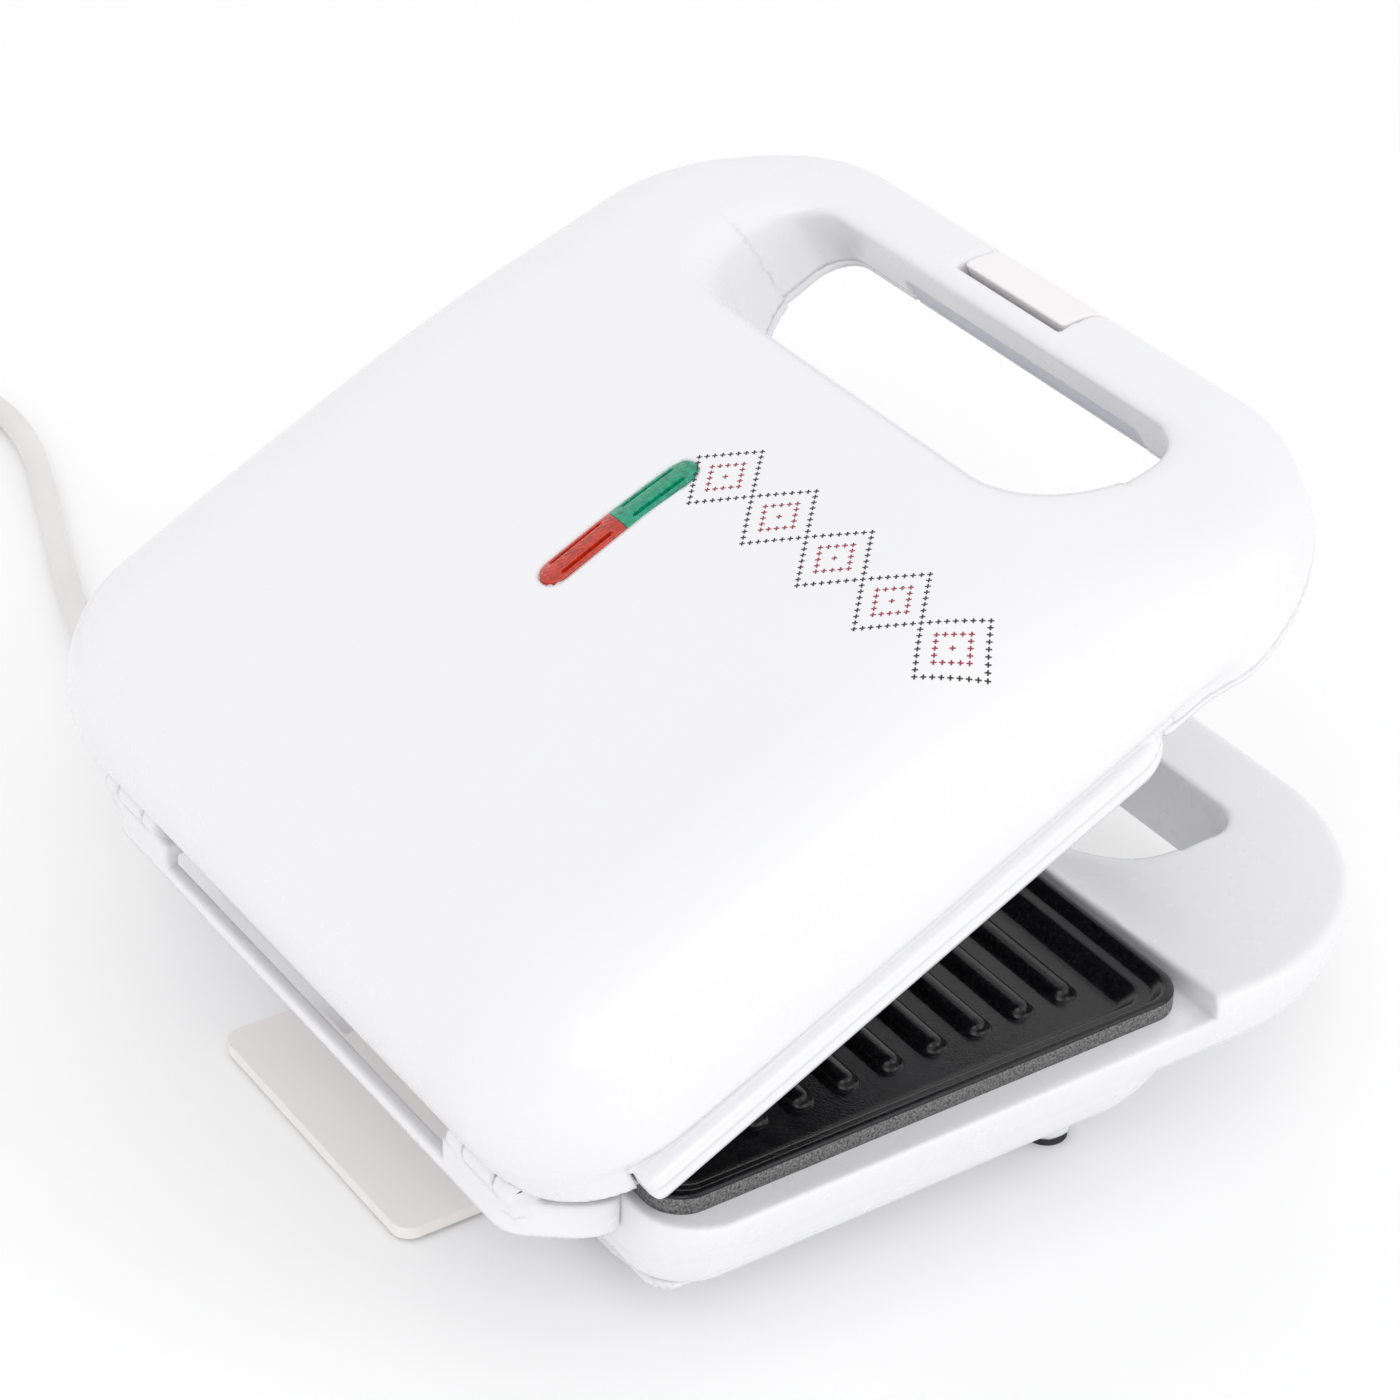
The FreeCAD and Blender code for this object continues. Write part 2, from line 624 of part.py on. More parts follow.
# ---- cord --------------------------------------------------------------------
def strain_relief():
    shank = rod(at(95, cord_row, cord_z), 4.5, 12, V(1, 0, 0))
    flange = rod(at(107, cord_row, cord_z), 5.8, 2.4, V(1, 0, 0))
    sleeve = Part.makeCone(5.2, 4.1, 30.6, at(109.4, cord_row, cord_z), V(1, 0, 0))
    return fused([shank, flange, sleeve])


lie = cord_radius + 0.8       # height of the cord's centre where it lies on the table
cord_route = [at(140, 36, cord_z), at(161, 36, cord_z), at(186, 41, 12.5), at(214, 50.8, 5.8),
              at(247, 61.5, lie), at(283, 74.5, lie), at(320, 86.5, lie), at(352, 85, lie),
              at(378, 69, lie), at(391, 42, lie)]
coil_turn = 44.0              # radius of the centre line where the cord runs into the coil
coil_end = 29.6               # radius of the centre line where the tail leaves it
way_in = (cord_route[-1] - cord_route[-2]).normalize()
coil_middle = cord_route[-1] + V(-way_in.y, way_in.x, 0) * coil_turn
tail_route = [coil_middle + V(*step) for step in
              [(28.8, -6.7, 0), (29.5, 6, 2.5), (31.5, 18.5, 7.2), (35.5, 33, 7.6), (40.5, 52, 9.5),
               (44, 76, 14.9), (44, 96, 14.9)]]
plug_tip = tail_route[-1]


def cord_coil():
    under = V(coil_middle.x, coil_middle.y, lie - cord_radius)
    ring = rod(under, coil_turn + cord_radius, 2 * cord_radius, V(0, 0, 1))
    return ring.cut(rod(under, coil_end - cord_radius, 2 * cord_radius, V(0, 0, 1)))


def coil_tie():
    """Strap around the bundle of turns."""
    middle = coil_middle + V(0, (coil_turn + coil_end) / 2, 0)
    reach = (coil_turn - coil_end) / 2 + cord_radius + 1.6
    strap = Part.makeBox(9.0, 2 * reach, 2 * cord_radius + 1.5, V(middle.x - 4.5, middle.y - reach, 0.05))
    return strap.cut(cord_coil())


def plug_body():
    """Earthed round plug lying on its rim, the neck towards the coil."""
    way = V(0, 1, 0)
    neck = Part.makeCone(4.6, 7.0, 16, plug_tip, way)
    shoulder = Part.makeCone(9.0, 17.0, 20, plug_tip + way * 16, way)
    face = rod(plug_tip + way * 36, 18.6, 17, way)
    return fused([neck, shoulder, face])


def plug_pins():
    start = plug_tip + V(0, 53, 0)
    pins = []
    for side in (-1, 1):
        shank = rod(start + V(side * 9.5, 0, 0), 2.4, 17, V(0, 1, 0))
        tip = Part.makeCone(2.4, 1.2, 2, start + V(side * 9.5, 17, 0), V(0, 1, 0))
        pins.append(fused([shank, tip]))
    return Part.makeCompound(pins)


def earth_strips():
    """Two spring strips let into the rim of the plug."""
    start = plug_tip + V(0, 40, 0)
    strips = []
    for side in (-1, 1):
        level = start.z + side * 18.0
        strips.append(Part.makeBox(6.0, 13.0, 1.2, V(start.x - 3.0, start.y, level - 0.6)))
    return Part.makeCompound(strips)


cord_tube, cord_length, cord_radii = tube(cord_route, cord_radius)
cord_tail, tail_length, tail_radii = tube(tail_route, cord_radius)
section_area = math.pi * cord_radius ** 2
for label, solid, length, radii in (("cord", cord_tube, cord_length, cord_radii),
                                    ("tail", cord_tail, tail_length, tail_radii)):
    print(label, "length", round(length), "radii", [round(r) for r in radii],
          "volume over section times length", round(solid.Volume / (section_area * length), 4))

write("base_frame", base_frame())
write("base_handle_cover", handle_cover())
write("base_cover", base_cover())
write("hinge_housing", hinge_housing())
write("hinge_pin_left", hinge_pin(-1))
write("hinge_pin_right", hinge_pin(1))
write("latch_keeper", latch_keeper())
write("rear_stand", rear_stand())
write("lower_grill_plate", grill_plate())
write("lower_heating_element", heating_element())
write("lower_reflector", reflector())
write("lower_plate_screws", plate_screws())
write("thermostat", thermostat())
write("thermal_fuse", thermal_fuse())
write("terminal_block", terminal_block())
write("base_wiring", base_wiring())
write_lid("lid_shell", lid_shell())
write_lid("lid_frame", lid_frame())
write_lid("upper_grill_plate", upper(grill_plate()))
write_lid("upper_heating_element", upper(heating_element()))
write_lid("upper_reflector", upper(reflector()))
write_lid("upper_plate_screws", upper(plate_screws()))
write_lid("green_lens", lens(lens_front + 1, (lens_front + lens_rear) / 2))
write_lid("red_lens", lens((lens_front + lens_rear) / 2, lens_rear - 1))
write_lid("latch", latch())
write_lid("latch_pin", latch_pin())
write_lid("latch_spring", latch_spring())
write_lid("green_lamp", lamp(lens_front - 12))
write_lid("red_lamp", lamp(lens_rear + 10))
write_lid("lamp_holder", lamp_holder())
write_lid("lid_wiring", lid_wiring())
write_lid("lid_screws", lid_screws())
for end, (foot_x, foot_row) in (("front", foot_front), ("rear", foot_rear)):
    write("foot_" + end + "_left", foot(-foot_x, foot_row))
    write("foot_" + end + "_right", foot(foot_x, foot_row))
write("cover_screws", Part.makeCompound([screw(side * screw_x, row, 20, 1.7, 12)
                                         for side in (-1, 1) for row in screw_rows]))
write("handle_screws", Part.makeCompound([screw(side * handle_screw[0], handle_screw[1], handle_bottom_z,
                                                1.7, 12) for side in (-1, 1)]))
write("stand_screws", Part.makeCompound([screw(side * stand_screw_x, stand_screw_row, 3.0, 1.6, 3.5, 2.6)
                                         for side in (-1, 1)]))
write("strain_relief", strain_relief())
write("cord_tube", cord_tube)
write("cord_coil", cord_coil())
write("cord_tail", cord_tail)
write("coil_tie", coil_tie())
write("plug_body", plug_body().cut(earth_strips()))
write("plug_pins", plug_pins())
write("plug_earth_strips", earth_strips())
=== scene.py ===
"""A white two-slice contact grill, its lid held part open, on a pale floor."""
import json
import math

import bmesh
import bpy
import numpy as np
from mathutils import Matrix, Vector


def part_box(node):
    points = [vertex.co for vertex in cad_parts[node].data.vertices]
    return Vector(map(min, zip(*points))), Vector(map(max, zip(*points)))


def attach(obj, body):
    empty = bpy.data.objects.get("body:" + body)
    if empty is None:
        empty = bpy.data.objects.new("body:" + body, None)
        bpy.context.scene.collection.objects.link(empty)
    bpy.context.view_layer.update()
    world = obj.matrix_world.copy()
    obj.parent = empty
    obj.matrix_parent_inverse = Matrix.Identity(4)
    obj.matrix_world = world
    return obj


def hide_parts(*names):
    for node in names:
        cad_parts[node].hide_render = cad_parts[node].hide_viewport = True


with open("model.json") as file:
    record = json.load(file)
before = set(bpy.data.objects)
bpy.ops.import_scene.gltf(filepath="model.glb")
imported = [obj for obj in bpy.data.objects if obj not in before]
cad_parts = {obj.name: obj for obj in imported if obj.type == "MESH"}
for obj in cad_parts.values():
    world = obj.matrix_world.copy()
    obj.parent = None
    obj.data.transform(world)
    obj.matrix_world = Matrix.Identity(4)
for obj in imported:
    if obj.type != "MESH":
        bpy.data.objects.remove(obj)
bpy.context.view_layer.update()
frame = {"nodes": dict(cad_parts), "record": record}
NODES = frame["nodes"]

# ---- places taken from the frame ---------------------------------------------
MM = 0.001
JOINTS = {j["name"]: j for j in frame["record"]["behaviour"]["joints"]}
HINGE = JOINTS["lid_hinge"]["pos_m"]
HINGE_Y = HINGE[1] / MM
HINGE_Z = HINGE[2] / MM
REST_OPEN = -math.radians(JOINTS["lid_hinge"]["range_deg"][0])
PLATE_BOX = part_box("lower_grill_plate")
RIM_Z = PLATE_BOX[1][2] / MM
PLATE_HALF = PLATE_BOX[1][0] / MM
PLATE_FRONT = HINGE_Y - PLATE_BOX[0][1] / MM
PLATE_REAR = HINGE_Y - PLATE_BOX[1][1] / MM
BASE_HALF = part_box("base_frame")[1][0] / MM
BASE_FRONT = HINGE_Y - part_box("base_frame")[0][1] / MM
BASE_REAR = HINGE_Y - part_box("base_frame")[1][1] / MM


# ---- frame of the shapes: x, distance in front of the hinge, height, all in mm
def to_world(points, in_lid=False):
    """Points of the closed grill, in mm, as points of the open grill, in metres."""
    p = np.array(points, dtype=float).reshape(-1, 3)
    x = p[:, 0]
    y = -p[:, 1]
    z = p[:, 2] - HINGE_Z
    if in_lid:
        c, s = math.cos(REST_OPEN), math.sin(REST_OPEN)
        y, z = y * c + z * s, z * c - y * s
    return np.stack([x, y + HINGE_Y, z + HINGE_Z], axis=1) * MM


def smooth_step(a, b, v):
    t = np.clip((v - a) / (b - a), 0.0, 1.0)
    return t * t * (3 - 2 * t)


def both(a, b, k=0.0):
    """Intersection of two fields, rounded over about k mm."""
    k = np.maximum(k, 1e-6)
    h = np.clip(0.5 + 0.5 * (a - b) / k, 0.0, 1.0)
    return b + (a - b) * h + k * h * (1 - h)


def either(a, b, k=0.0):
    """Union of two fields, filleted over about k mm."""
    return -both(-a, -b, k)


def cut_from(a, b, k=0.0):
    """Field a with field b taken away."""
    return both(a, -b, k)


def outline_field(x, d, half, front, rear, front_radius, rear_radius):
    """Signed distance to a rounded rectangle in plan, negative inside."""
    across = np.abs(x)
    along = d - (front + rear) / 2
    r = np.where(along > 0, front_radius, rear_radius)
    qx = across - half + r
    qy = np.abs(along) - (front - rear) / 2 + r
    return np.minimum(np.maximum(qx, qy), 0) + np.hypot(np.maximum(qx, 0), np.maximum(qy, 0)) - r


def slab(v, low, high):
    return np.maximum(low - v, v - high)


def box_field(x, d, z, lows, highs, r=0.0):
    centre = [(a + b) / 2 for a, b in zip(lows, highs)]
    half = [(b - a) / 2 - r for a, b in zip(lows, highs)]
    q = [np.abs(v - c) - h for v, c, h in zip((x, d, z), centre, half)]
    outside = np.sqrt(sum(np.maximum(v, 0) ** 2 for v in q))
    return outside + np.minimum(np.maximum(q[0], np.maximum(q[1], q[2])), 0) - r


def post_field(x, d, z, at_x, at_d, radius, low, high, k=0.6):
    """Upright round post at two mirrored places."""
    return both(np.hypot(np.abs(x) - at_x, d - at_d) - radius, slab(z, low, high), k)


# ---- meshes from fields ------------------------------------------------------
def surface_of(field, lows, highs, step):
    """Quad mesh of the surface where field(x, d, z) is zero, by surface nets."""
    axes = [np.arange(a - step, b + 2 * step, step) for a, b in zip(lows, highs)]
    grid = np.meshgrid(*axes, indexing="ij")
    value = field(*grid)
    inside = value < 0
    cells = tuple(n - 1 for n in value.shape)
    total = np.zeros(cells + (3,))
    count = np.zeros(cells)
    corners = [(i, j, k) for i in (0, 1) for j in (0, 1) for k in (0, 1)]

    def corner(a, c):
        return a[c[0]:c[0] + cells[0], c[1]:c[1] + cells[1], c[2]:c[2] + cells[2]]

    for a in corners:
        for axis in range(3):
            if a[axis]:
                continue
            b = tuple(v + (n == axis) for n, v in enumerate(a))
            va, vb = corner(value, a), corner(value, b)
            cut = corner(inside, a) != corner(inside, b)
            share = np.where(cut, va / np.where(cut, va - vb, 1.0), 0.0)
            for n in range(3):
                total[..., n] += np.where(cut, a[n] + (share if n == axis else 0.0), 0.0)
            count += cut
    active = count > 0
    index = np.full(cells, -1)
    index[active] = np.arange(active.sum())
    where = np.argwhere(active)
    points = (where + total[active] / count[active][:, None]) * step + [a[0] for a in axes]
    faces = []
    for axis in range(3):
        u, v = [n for n in range(3) if n != axis]
        first = [slice(None)] * 3
        second = [slice(None)] * 3
        first[axis] = slice(0, -1)
        second[axis] = slice(1, None)
        for sl in (first, second):
            sl[u] = slice(1, -1)
            sl[v] = slice(1, -1)
        low, high = inside[tuple(first)], inside[tuple(second)]
        spots = np.argwhere(low != high)
        if not len(spots):
            continue
        enters = high[tuple(spots.T)]
        spots[:, u] += 1
        spots[:, v] += 1
        ring = []
        for du, dv in ((-1, -1), (0, -1), (0, 0), (-1, 0)):
            c = spots.copy()
            c[:, u] += du
            c[:, v] += dv
            ring.append(index[tuple(c.T)])
        quad = np.stack(ring, axis=1)
        flip = enters if axis != 1 else ~enters
        quad[flip] = quad[flip][:, ::-1]
        faces.append(quad)
    faces = np.concatenate(faces)
    small = step * 0.02
    for _ in range(3):
        x, d, z = points.T
        here = field(x, d, z)
        slope = np.stack([(field(x + small, d, z) - here) / small, (field(x, d + small, z) - here) / small,
                          (field(x, d, z + small) - here) / small], axis=1)
        size = np.maximum((slope ** 2).sum(axis=1), 1e-6)
        move = -slope * (here / size)[:, None]
        reach = np.linalg.norm(move, axis=1)
        move *= np.minimum(1.0, 0.5 * step / np.maximum(reach, 1e-9))[:, None]
        points = points + move
    return points, faces


def mesh_object(name, points, faces, body, material):
    mesh = bpy.data.meshes.new(name)
    mesh.from_pydata([tuple(p) for p in points], [], [tuple(int(i) for i in f) for f in faces])
    mesh.validate()
    mesh.update()
    obj = bpy.data.objects.new(name, mesh)
    bpy.context.scene.collection.objects.link(obj)
    mesh.materials.append(material)
    mesh.polygons.foreach_set("use_smooth", [True] * len(mesh.polygons))
    bm = bmesh.new()
    bm.from_mesh(mesh)
    bmesh.ops.recalc_face_normals(bm, faces=bm.faces)
    bm.to_mesh(mesh)
    bm.free()
    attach(obj, body)
    return obj


def field_object(name, field, lows, highs, step, body, material, in_lid, *nodes):
    points, faces = surface_of(field, lows, highs, step)
    obj = mesh_object(name, to_world(points, in_lid), faces, body, material)
    if nodes:
        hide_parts(*nodes)
    return obj


# ---- materials ---------------------------------------------------------------
class Finish:
    """Builds one node material step by step."""

    def __init__(self, name, colour, roughness, metallic=0.0):
        self.material = bpy.data.materials.new(name)
        self.material.use_nodes = True
        self.tree = self.material.node_tree
        self.shader = self.tree.nodes["Principled BSDF"]
        self.shader.inputs["Base Color"].default_value = (*colour, 1)
        self.shader.inputs["Roughness"].default_value = roughness
        self.shader.inputs["Metallic"].default_value = metallic
        self.height = None

    def node(self, kind, **settings):
        made = self.tree.nodes.new(kind)
        for key, value in settings.items():
            if key in made.inputs:
                made.inputs[key].default_value = value
            else:
                setattr(made, key, value)
        return made

    def link(self, a, b):
        self.tree.links.new(a, b)

    def noise(self, scale, detail=4.0, stretch=(1, 1, 1)):
        place = self.node("ShaderNodeTexCoord")
        mapping = self.node("ShaderNodeMapping", Scale=stretch)
        made = self.node("ShaderNodeTexNoise", Scale=scale, Detail=detail)
        self.link(place.outputs["Object"], mapping.inputs["Vector"])
        self.link(mapping.outputs["Vector"], made.inputs["Vector"])
        return made.outputs["Fac"]

    def cells(self, scale):
        place = self.node("ShaderNodeTexCoord")
        made = self.node("ShaderNodeTexVoronoi", Scale=scale)
        self.link(place.outputs["Object"], made.inputs["Vector"])
        return made.outputs["Distance"]

    def spread(self, value, low, high):
        """The value's middle range stretched to low..high."""
        ranged = self.node("ShaderNodeMapRange")
        ranged.inputs["From Min"].default_value = 0.3
        ranged.inputs["From Max"].default_value = 0.7
        ranged.inputs["To Min"].default_value = low
        ranged.inputs["To Max"].default_value = high
        self.link(value, ranged.inputs["Value"])
        return ranged.outputs["Result"]

    def colours(self, value, first, second):
        mix = self.node("ShaderNodeMix", data_type="RGBA")
        mix.inputs["A"].default_value = (*first, 1)
        mix.inputs["B"].default_value = (*second, 1)
        self.link(self.spread(value, 0.0, 1.0), mix.inputs["Factor"])
        self.link(mix.outputs["Result"], self.shader.inputs["Base Color"])
        return self

    def rough(self, value, low, high):
        self.link(self.spread(value, low, high), self.shader.inputs["Roughness"])
        return self

    def bump(self, value, strength, distance):
        made = self.node("ShaderNodeBump", Strength=strength, Distance=distance)
        self.link(value, made.inputs["Height"])
        if self.height is not None:
            self.link(self.height, made.inputs["Normal"])
        self.height = made.outputs["Normal"]
        self.link(self.height, self.shader.inputs["Normal"])
        return self

    def set(self, **values):
        for key, value in values.items():
            self.shader.inputs[key.replace("_", " ")].default_value = value
        return self


def white_gloss():
    f = Finish("white_gloss_plastic", (0.835, 0.835, 0.856), 0.26)
    f.set(IOR=1.48, Coat_Weight=0.2, Coat_Roughness=0.1)
    f.colours(f.noise(9, 2), (0.83, 0.83, 0.854), (0.84, 0.839, 0.859))
    f.rough(f.noise(60, 3), 0.25, 0.29)
    return f.bump(f.noise(420, 3), 0.012, 0.0001).material


def warm_satin(name, colour):
    f = Finish(name, colour, 0.4)
    f.colours(f.noise(25, 3), tuple(c * 0.985 for c in colour), tuple(c * 1.015 for c in colour))
    f.rough(f.noise(160, 5), 0.36, 0.46)
    return f.bump(f.cells(2600), 0.08, 0.00005).material


def nonstick():
    f = Finish("nonstick_coating", (0.006, 0.006, 0.007), 0.24)
    f.set(IOR=1.45, Specular_IOR_Level=0.45)
    f.colours(f.noise(900, 6), (0.003, 0.003, 0.004), (0.014, 0.014, 0.016))
    f.rough(f.noise(260, 5), 0.17, 0.27)
    f.bump(f.cells(1600), 0.2, 0.0001)
    return f.bump(f.noise(900, 5), 0.18, 0.00012).material


def blasted_edge():
    f = Finish("blasted_plate_edge", (0.1, 0.1, 0.105), 0.6)
    f.colours(f.noise(1900, 5), (0.012, 0.012, 0.013), (0.27, 0.265, 0.265))
    f.rough(f.noise(1200, 4), 0.5, 0.72)
    return f.bump(f.noise(3200, 3), 0.5, 0.0001).material


def steel():
    f = Finish("brushed_steel", (0.56, 0.56, 0.57), 0.3, 1.0)
    f.rough(f.noise(60, 6, (1, 30, 30)), 0.24, 0.42)
    f.colours(f.noise(30, 4), (0.5, 0.5, 0.51), (0.64, 0.64, 0.65))
    return f.bump(f.noise(300, 4, (1, 20, 20)), 0.08, 0.0001).material


def nickel():
    f = Finish("nickel_pins", (0.72, 0.7, 0.67), 0.16, 1.0)
    f.rough(f.noise(200, 4), 0.1, 0.24)
    return f.bump(f.noise(900, 3), 0.05, 0.0001).material


def rubber():
    f = Finish("black_rubber", (0.018, 0.018, 0.018), 0.75)
    f.colours(f.noise(150, 5), (0.012, 0.012, 0.012), (0.03, 0.03, 0.031))
    f.rough(f.noise(300, 5), 0.65, 0.85)
    return f.bump(f.noise(1100, 5), 0.25, 0.0002).material


def inner_plastic():
    f = Finish("inner_plastic", (0.74, 0.73, 0.7), 0.55)
    f.colours(f.noise(60, 4), (0.7, 0.69, 0.66), (0.78, 0.77, 0.74))
    f.rough(f.noise(200, 4), 0.5, 0.65)
    return f.bump(f.cells(1800), 0.12, 0.0001).material


def wire_sleeve():
    f = Finish("wire_sleeve", (0.7, 0.69, 0.66), 0.5)
    f.colours(f.noise(80, 4), (0.66, 0.65, 0.62), (0.75, 0.74, 0.71))
    f.rough(f.noise(260, 4), 0.45, 0.6)
    return f.bump(f.noise(800, 4), 0.1, 0.0001).material


def cord_vinyl():
    f = Finish("cord_vinyl", (0.76, 0.74, 0.735), 0.42)
    f.colours(f.noise(40, 4), (0.74, 0.72, 0.715), (0.79, 0.775, 0.77))
    f.rough(f.noise(220, 4), 0.36, 0.5)
    return f.bump(f.noise(700, 4), 0.1, 0.0001).material


def lens_plastic(name, deep, bright, painted_glow):
    f = Finish(name, bright, 0.12)
    f.colours(f.noise(700, 5), deep, bright)
    f.rough(f.noise(500, 4), 0.06, 0.18)
    # painted glow: a faint emission in the lens colour, though the lamps under the lenses are not lit
    f.set(IOR=1.49, Transmission_Weight=0.25, Coat_Weight=0.6, Coat_Roughness=0.04,
          Emission_Color=(*painted_glow, 1), Emission_Strength=0.16)
    return f.bump(f.cells(1500), 0.35, 0.0003).material


def lamp_glass():
    f = Finish("lamp_glass", (0.9, 0.86, 0.8), 0.08)
    f.rough(f.noise(200, 3), 0.05, 0.12)
    return f.set(Transmission_Weight=0.8, IOR=1.45).bump(f.noise(300, 3), 0.05, 0.0001).material


def thread_ink(name, colour):
    f = Finish(name, colour, 0.35)
    dim = tuple(c * 0.75 for c in colour)
    f.colours(f.noise(900, 3), dim, colour)
    f.rough(f.noise(700, 3), 0.3, 0.42)
    return f.bump(f.noise(2000, 2), 0.1, 0.00005).material


WHITE = white_gloss()
WARM = warm_satin("warm_white_plastic", (0.88, 0.845, 0.832))
TILE = warm_satin("warm_white_tile", (0.865, 0.845, 0.845))
# painted shade: a darker lavender grey for the strip under the handle bar, standing in for the shade on the
# window wall there
PAINTED_SHADE = warm_satin("painted_shade_strip_plastic", (0.66, 0.655, 0.73))
NONSTICK = nonstick()
BLASTED = blasted_edge()
STEEL = steel()
NICKEL = nickel()
RUBBER = rubber()
INNER = inner_plastic()
VINYL = cord_vinyl()
SLEEVE = wire_sleeve()
GREEN = lens_plastic("green_lens", (0.0, 0.1, 0.06), (0.0, 0.36, 0.2), (0.0, 0.5, 0.28))
RED = lens_plastic("red_lens", (0.24, 0.01, 0.003), (0.62, 0.035, 0.006), (0.7, 0.03, 0.005))
LAMP = lamp_glass()
INK_DARK = thread_ink("dark_thread_ink", (0.02, 0.018, 0.022))
INK_RED = thread_ink("red_thread_ink", (0.36, 0.03, 0.06))


# ---- curves and outlines -----------------------------------------------------
def curve(v, knots):
    """Smooth curve through (argument, value) knots, held constant past its ends."""
    a = np.array([k[0] for k in knots], dtype=float)
    b = np.array([k[1] for k in knots], dtype=float)
    slope = np.gradient(b, a)
    v = np.clip(v, a[0], a[-1])
    i = np.clip(np.searchsorted(a, v) - 1, 0, len(a) - 2)
    span = a[i + 1] - a[i]
    t = (v - a[i]) / span
    return ((1 + 2 * t) * (1 - t) ** 2 * b[i] + t * (1 - t) ** 2 * span * slope[i]
            + t * t * (3 - 2 * t) * b[i + 1] + t * t * (t - 1) * span * slope[i + 1])


def rounded_ring(half, front, rear, radius, arc_steps=14, side_steps=12):
    """Points (x, distance in front of the hinge) round a rounded rectangle."""
    points = []
    corners = ((half, front, 90), (half, rear, 0), (-half, rear, -90), (-half, front, -180))
    for n, (cx, cd, start) in enumerate(corners):
        mx = cx - math.copysign(radius, cx)
        md = cd - radius if cd == front else cd + radius
        for k in range(arc_steps + 1):
            a = math.radians(start - 90 * k / arc_steps)
            points.append((mx + radius * math.cos(a), md + radius * math.sin(a)))
        nx, nd, nstart = corners[(n + 1) % 4]
        ex = nx - math.copysign(radius, nx)
        ed = nd - radius if nd == front else nd + radius
        a = math.radians(nstart)
        goal = (ex + radius * math.cos(a), ed + radius * math.sin(a))
        here = points[-1]
        for k in range(1, side_steps):
            t = k / side_steps
            points.append((here[0] + (goal[0] - here[0]) * t, here[1] + (goal[1] - here[1]) * t))
    return points


def stadium_ring(half_length, radius, steps=12):
    """Points (x, offset) round a bar with round ends, lying along X."""
    points = []
    for side in (1, -1):
        for k in range(steps + 1):
            a = math.radians(90 - 180 * k / steps) if side > 0 else math.radians(270 - 180 * k / steps)
            points.append((side * half_length + radius * math.cos(a), radius * math.sin(a)))
    return points


def skin(rings, loop=False):
    """Vertices and quads through rings of equal length, capped at both ends or closed into a loop."""
    count = len(rings[0])
    total = len(rings) * count
    points = [p for ring in rings for p in ring]
    faces = []
    for r in range(len(rings) if loop else len(rings) - 1):
        for k in range(count):
            a, b = r * count + k, r * count + (k + 1) % count
            faces.append((a, b, (b + count) % total, (a + count) % total))
    if not loop:
        faces.append(tuple(range(total - count, total)))
        faces.append(tuple(range(count)))
    return points, faces


# ---- cord, strain relief, tie and plug ---------------------------------------
CORD_RADIUS = 3.5
LIE = 4.3                     # height of the cord's middle where it lies on the table
CORD_ROUTE = [(140, 36, 18), (161, 36, 18), (186, 41, 12.5), (214, 50.8, 5.8), (247, 61.5, LIE),
              (283, 74.5, LIE), (320, 86.5, LIE), (352, 85, LIE), (378, 69, LIE), (391, 42, LIE)]
COIL_TURN = 44.0
COIL_PITCH = 7.1
COIL_DEGREES = 732
TAIL_STEPS = [(28.8, -6.7, 0), (29.5, 6, 2.5), (31.5, 18.5, 7.2), (35.5, 33, 7.6), (40.5, 52, 9.5),
              (44, 76, 14.9), (44, 96, 14.9)]


def line_object(name, points, radius, material):
    """Round cord along a smooth line through its control points, in metres."""
    data = bpy.data.curves.new(name, "CURVE")
    data.dimensions = "3D"
    data.bevel_depth = radius * MM
    data.bevel_resolution = 5
    data.use_fill_caps = True
    data.resolution_u = 6
    spline = data.splines.new("NURBS")
    spline.points.add(len(points) - 1)
    for point, place in zip(spline.points, points):
        point.co = (*place, 1)
    spline.order_u = 3
    spline.use_endpoint_u = True
    data.materials.append(material)
    obj = bpy.data.objects.new(name, data)
    bpy.context.scene.collection.objects.link(obj)
    return obj


def lathe(name, profile, start, way, material, body, segments=40, flutes=0, flute_depth=0.0):
    """Turned piece: (distance along the axis, radius, share of the flutes) rings from start."""
    way = Vector(way).normalized()
    side = way.orthogonal().normalized()
    other = way.cross(side)
    rings = []
    for step in profile:
        along, radius = step[0], max(step[1], 0.05)
        share = step[2] if len(step) > 2 else 0.0
        ring = []
        for k in range(segments):
            a = 2 * math.pi * k / segments
            r = radius - share * flute_depth * (0.5 - 0.5 * math.cos(flutes * a))
            place = Vector(start) + way * along + side * (r * math.cos(a)) + other * (r * math.sin(a))
            ring.append(tuple(place * MM))
        rings.append(ring)
    points, faces = skin(rings)
    return mesh_object(name, points, faces, body, material)


def make_cord():
    route = [tuple(p) for p in to_world(CORD_ROUTE)]
    last, before = Vector(route[-1]) / MM, Vector(route[-2]) / MM
    run = (last - before).normalized()
    middle = last + Vector((-run.y, run.x, 0)) * COIL_TURN
    entry = math.degrees(math.atan2(last.y - middle.y, last.x - middle.x))
    turns = []
    for step in range(15, COIL_DEGREES, 15):
        a = math.radians(entry + step)
        r = COIL_TURN - COIL_PITCH * step / 360
        turns.append((middle + Vector((math.cos(a), math.sin(a), 0)) * r) * MM)
    tail = [(middle + Vector(step)) * MM for step in TAIL_STEPS]
    points = route + [tuple(p) for p in turns + tail]
    cord = line_object("mains_cord", points, CORD_RADIUS, VINYL)
    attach(cord, "base")
    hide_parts("cord_tube", "cord_coil", "cord_tail")
    return cord, points, middle


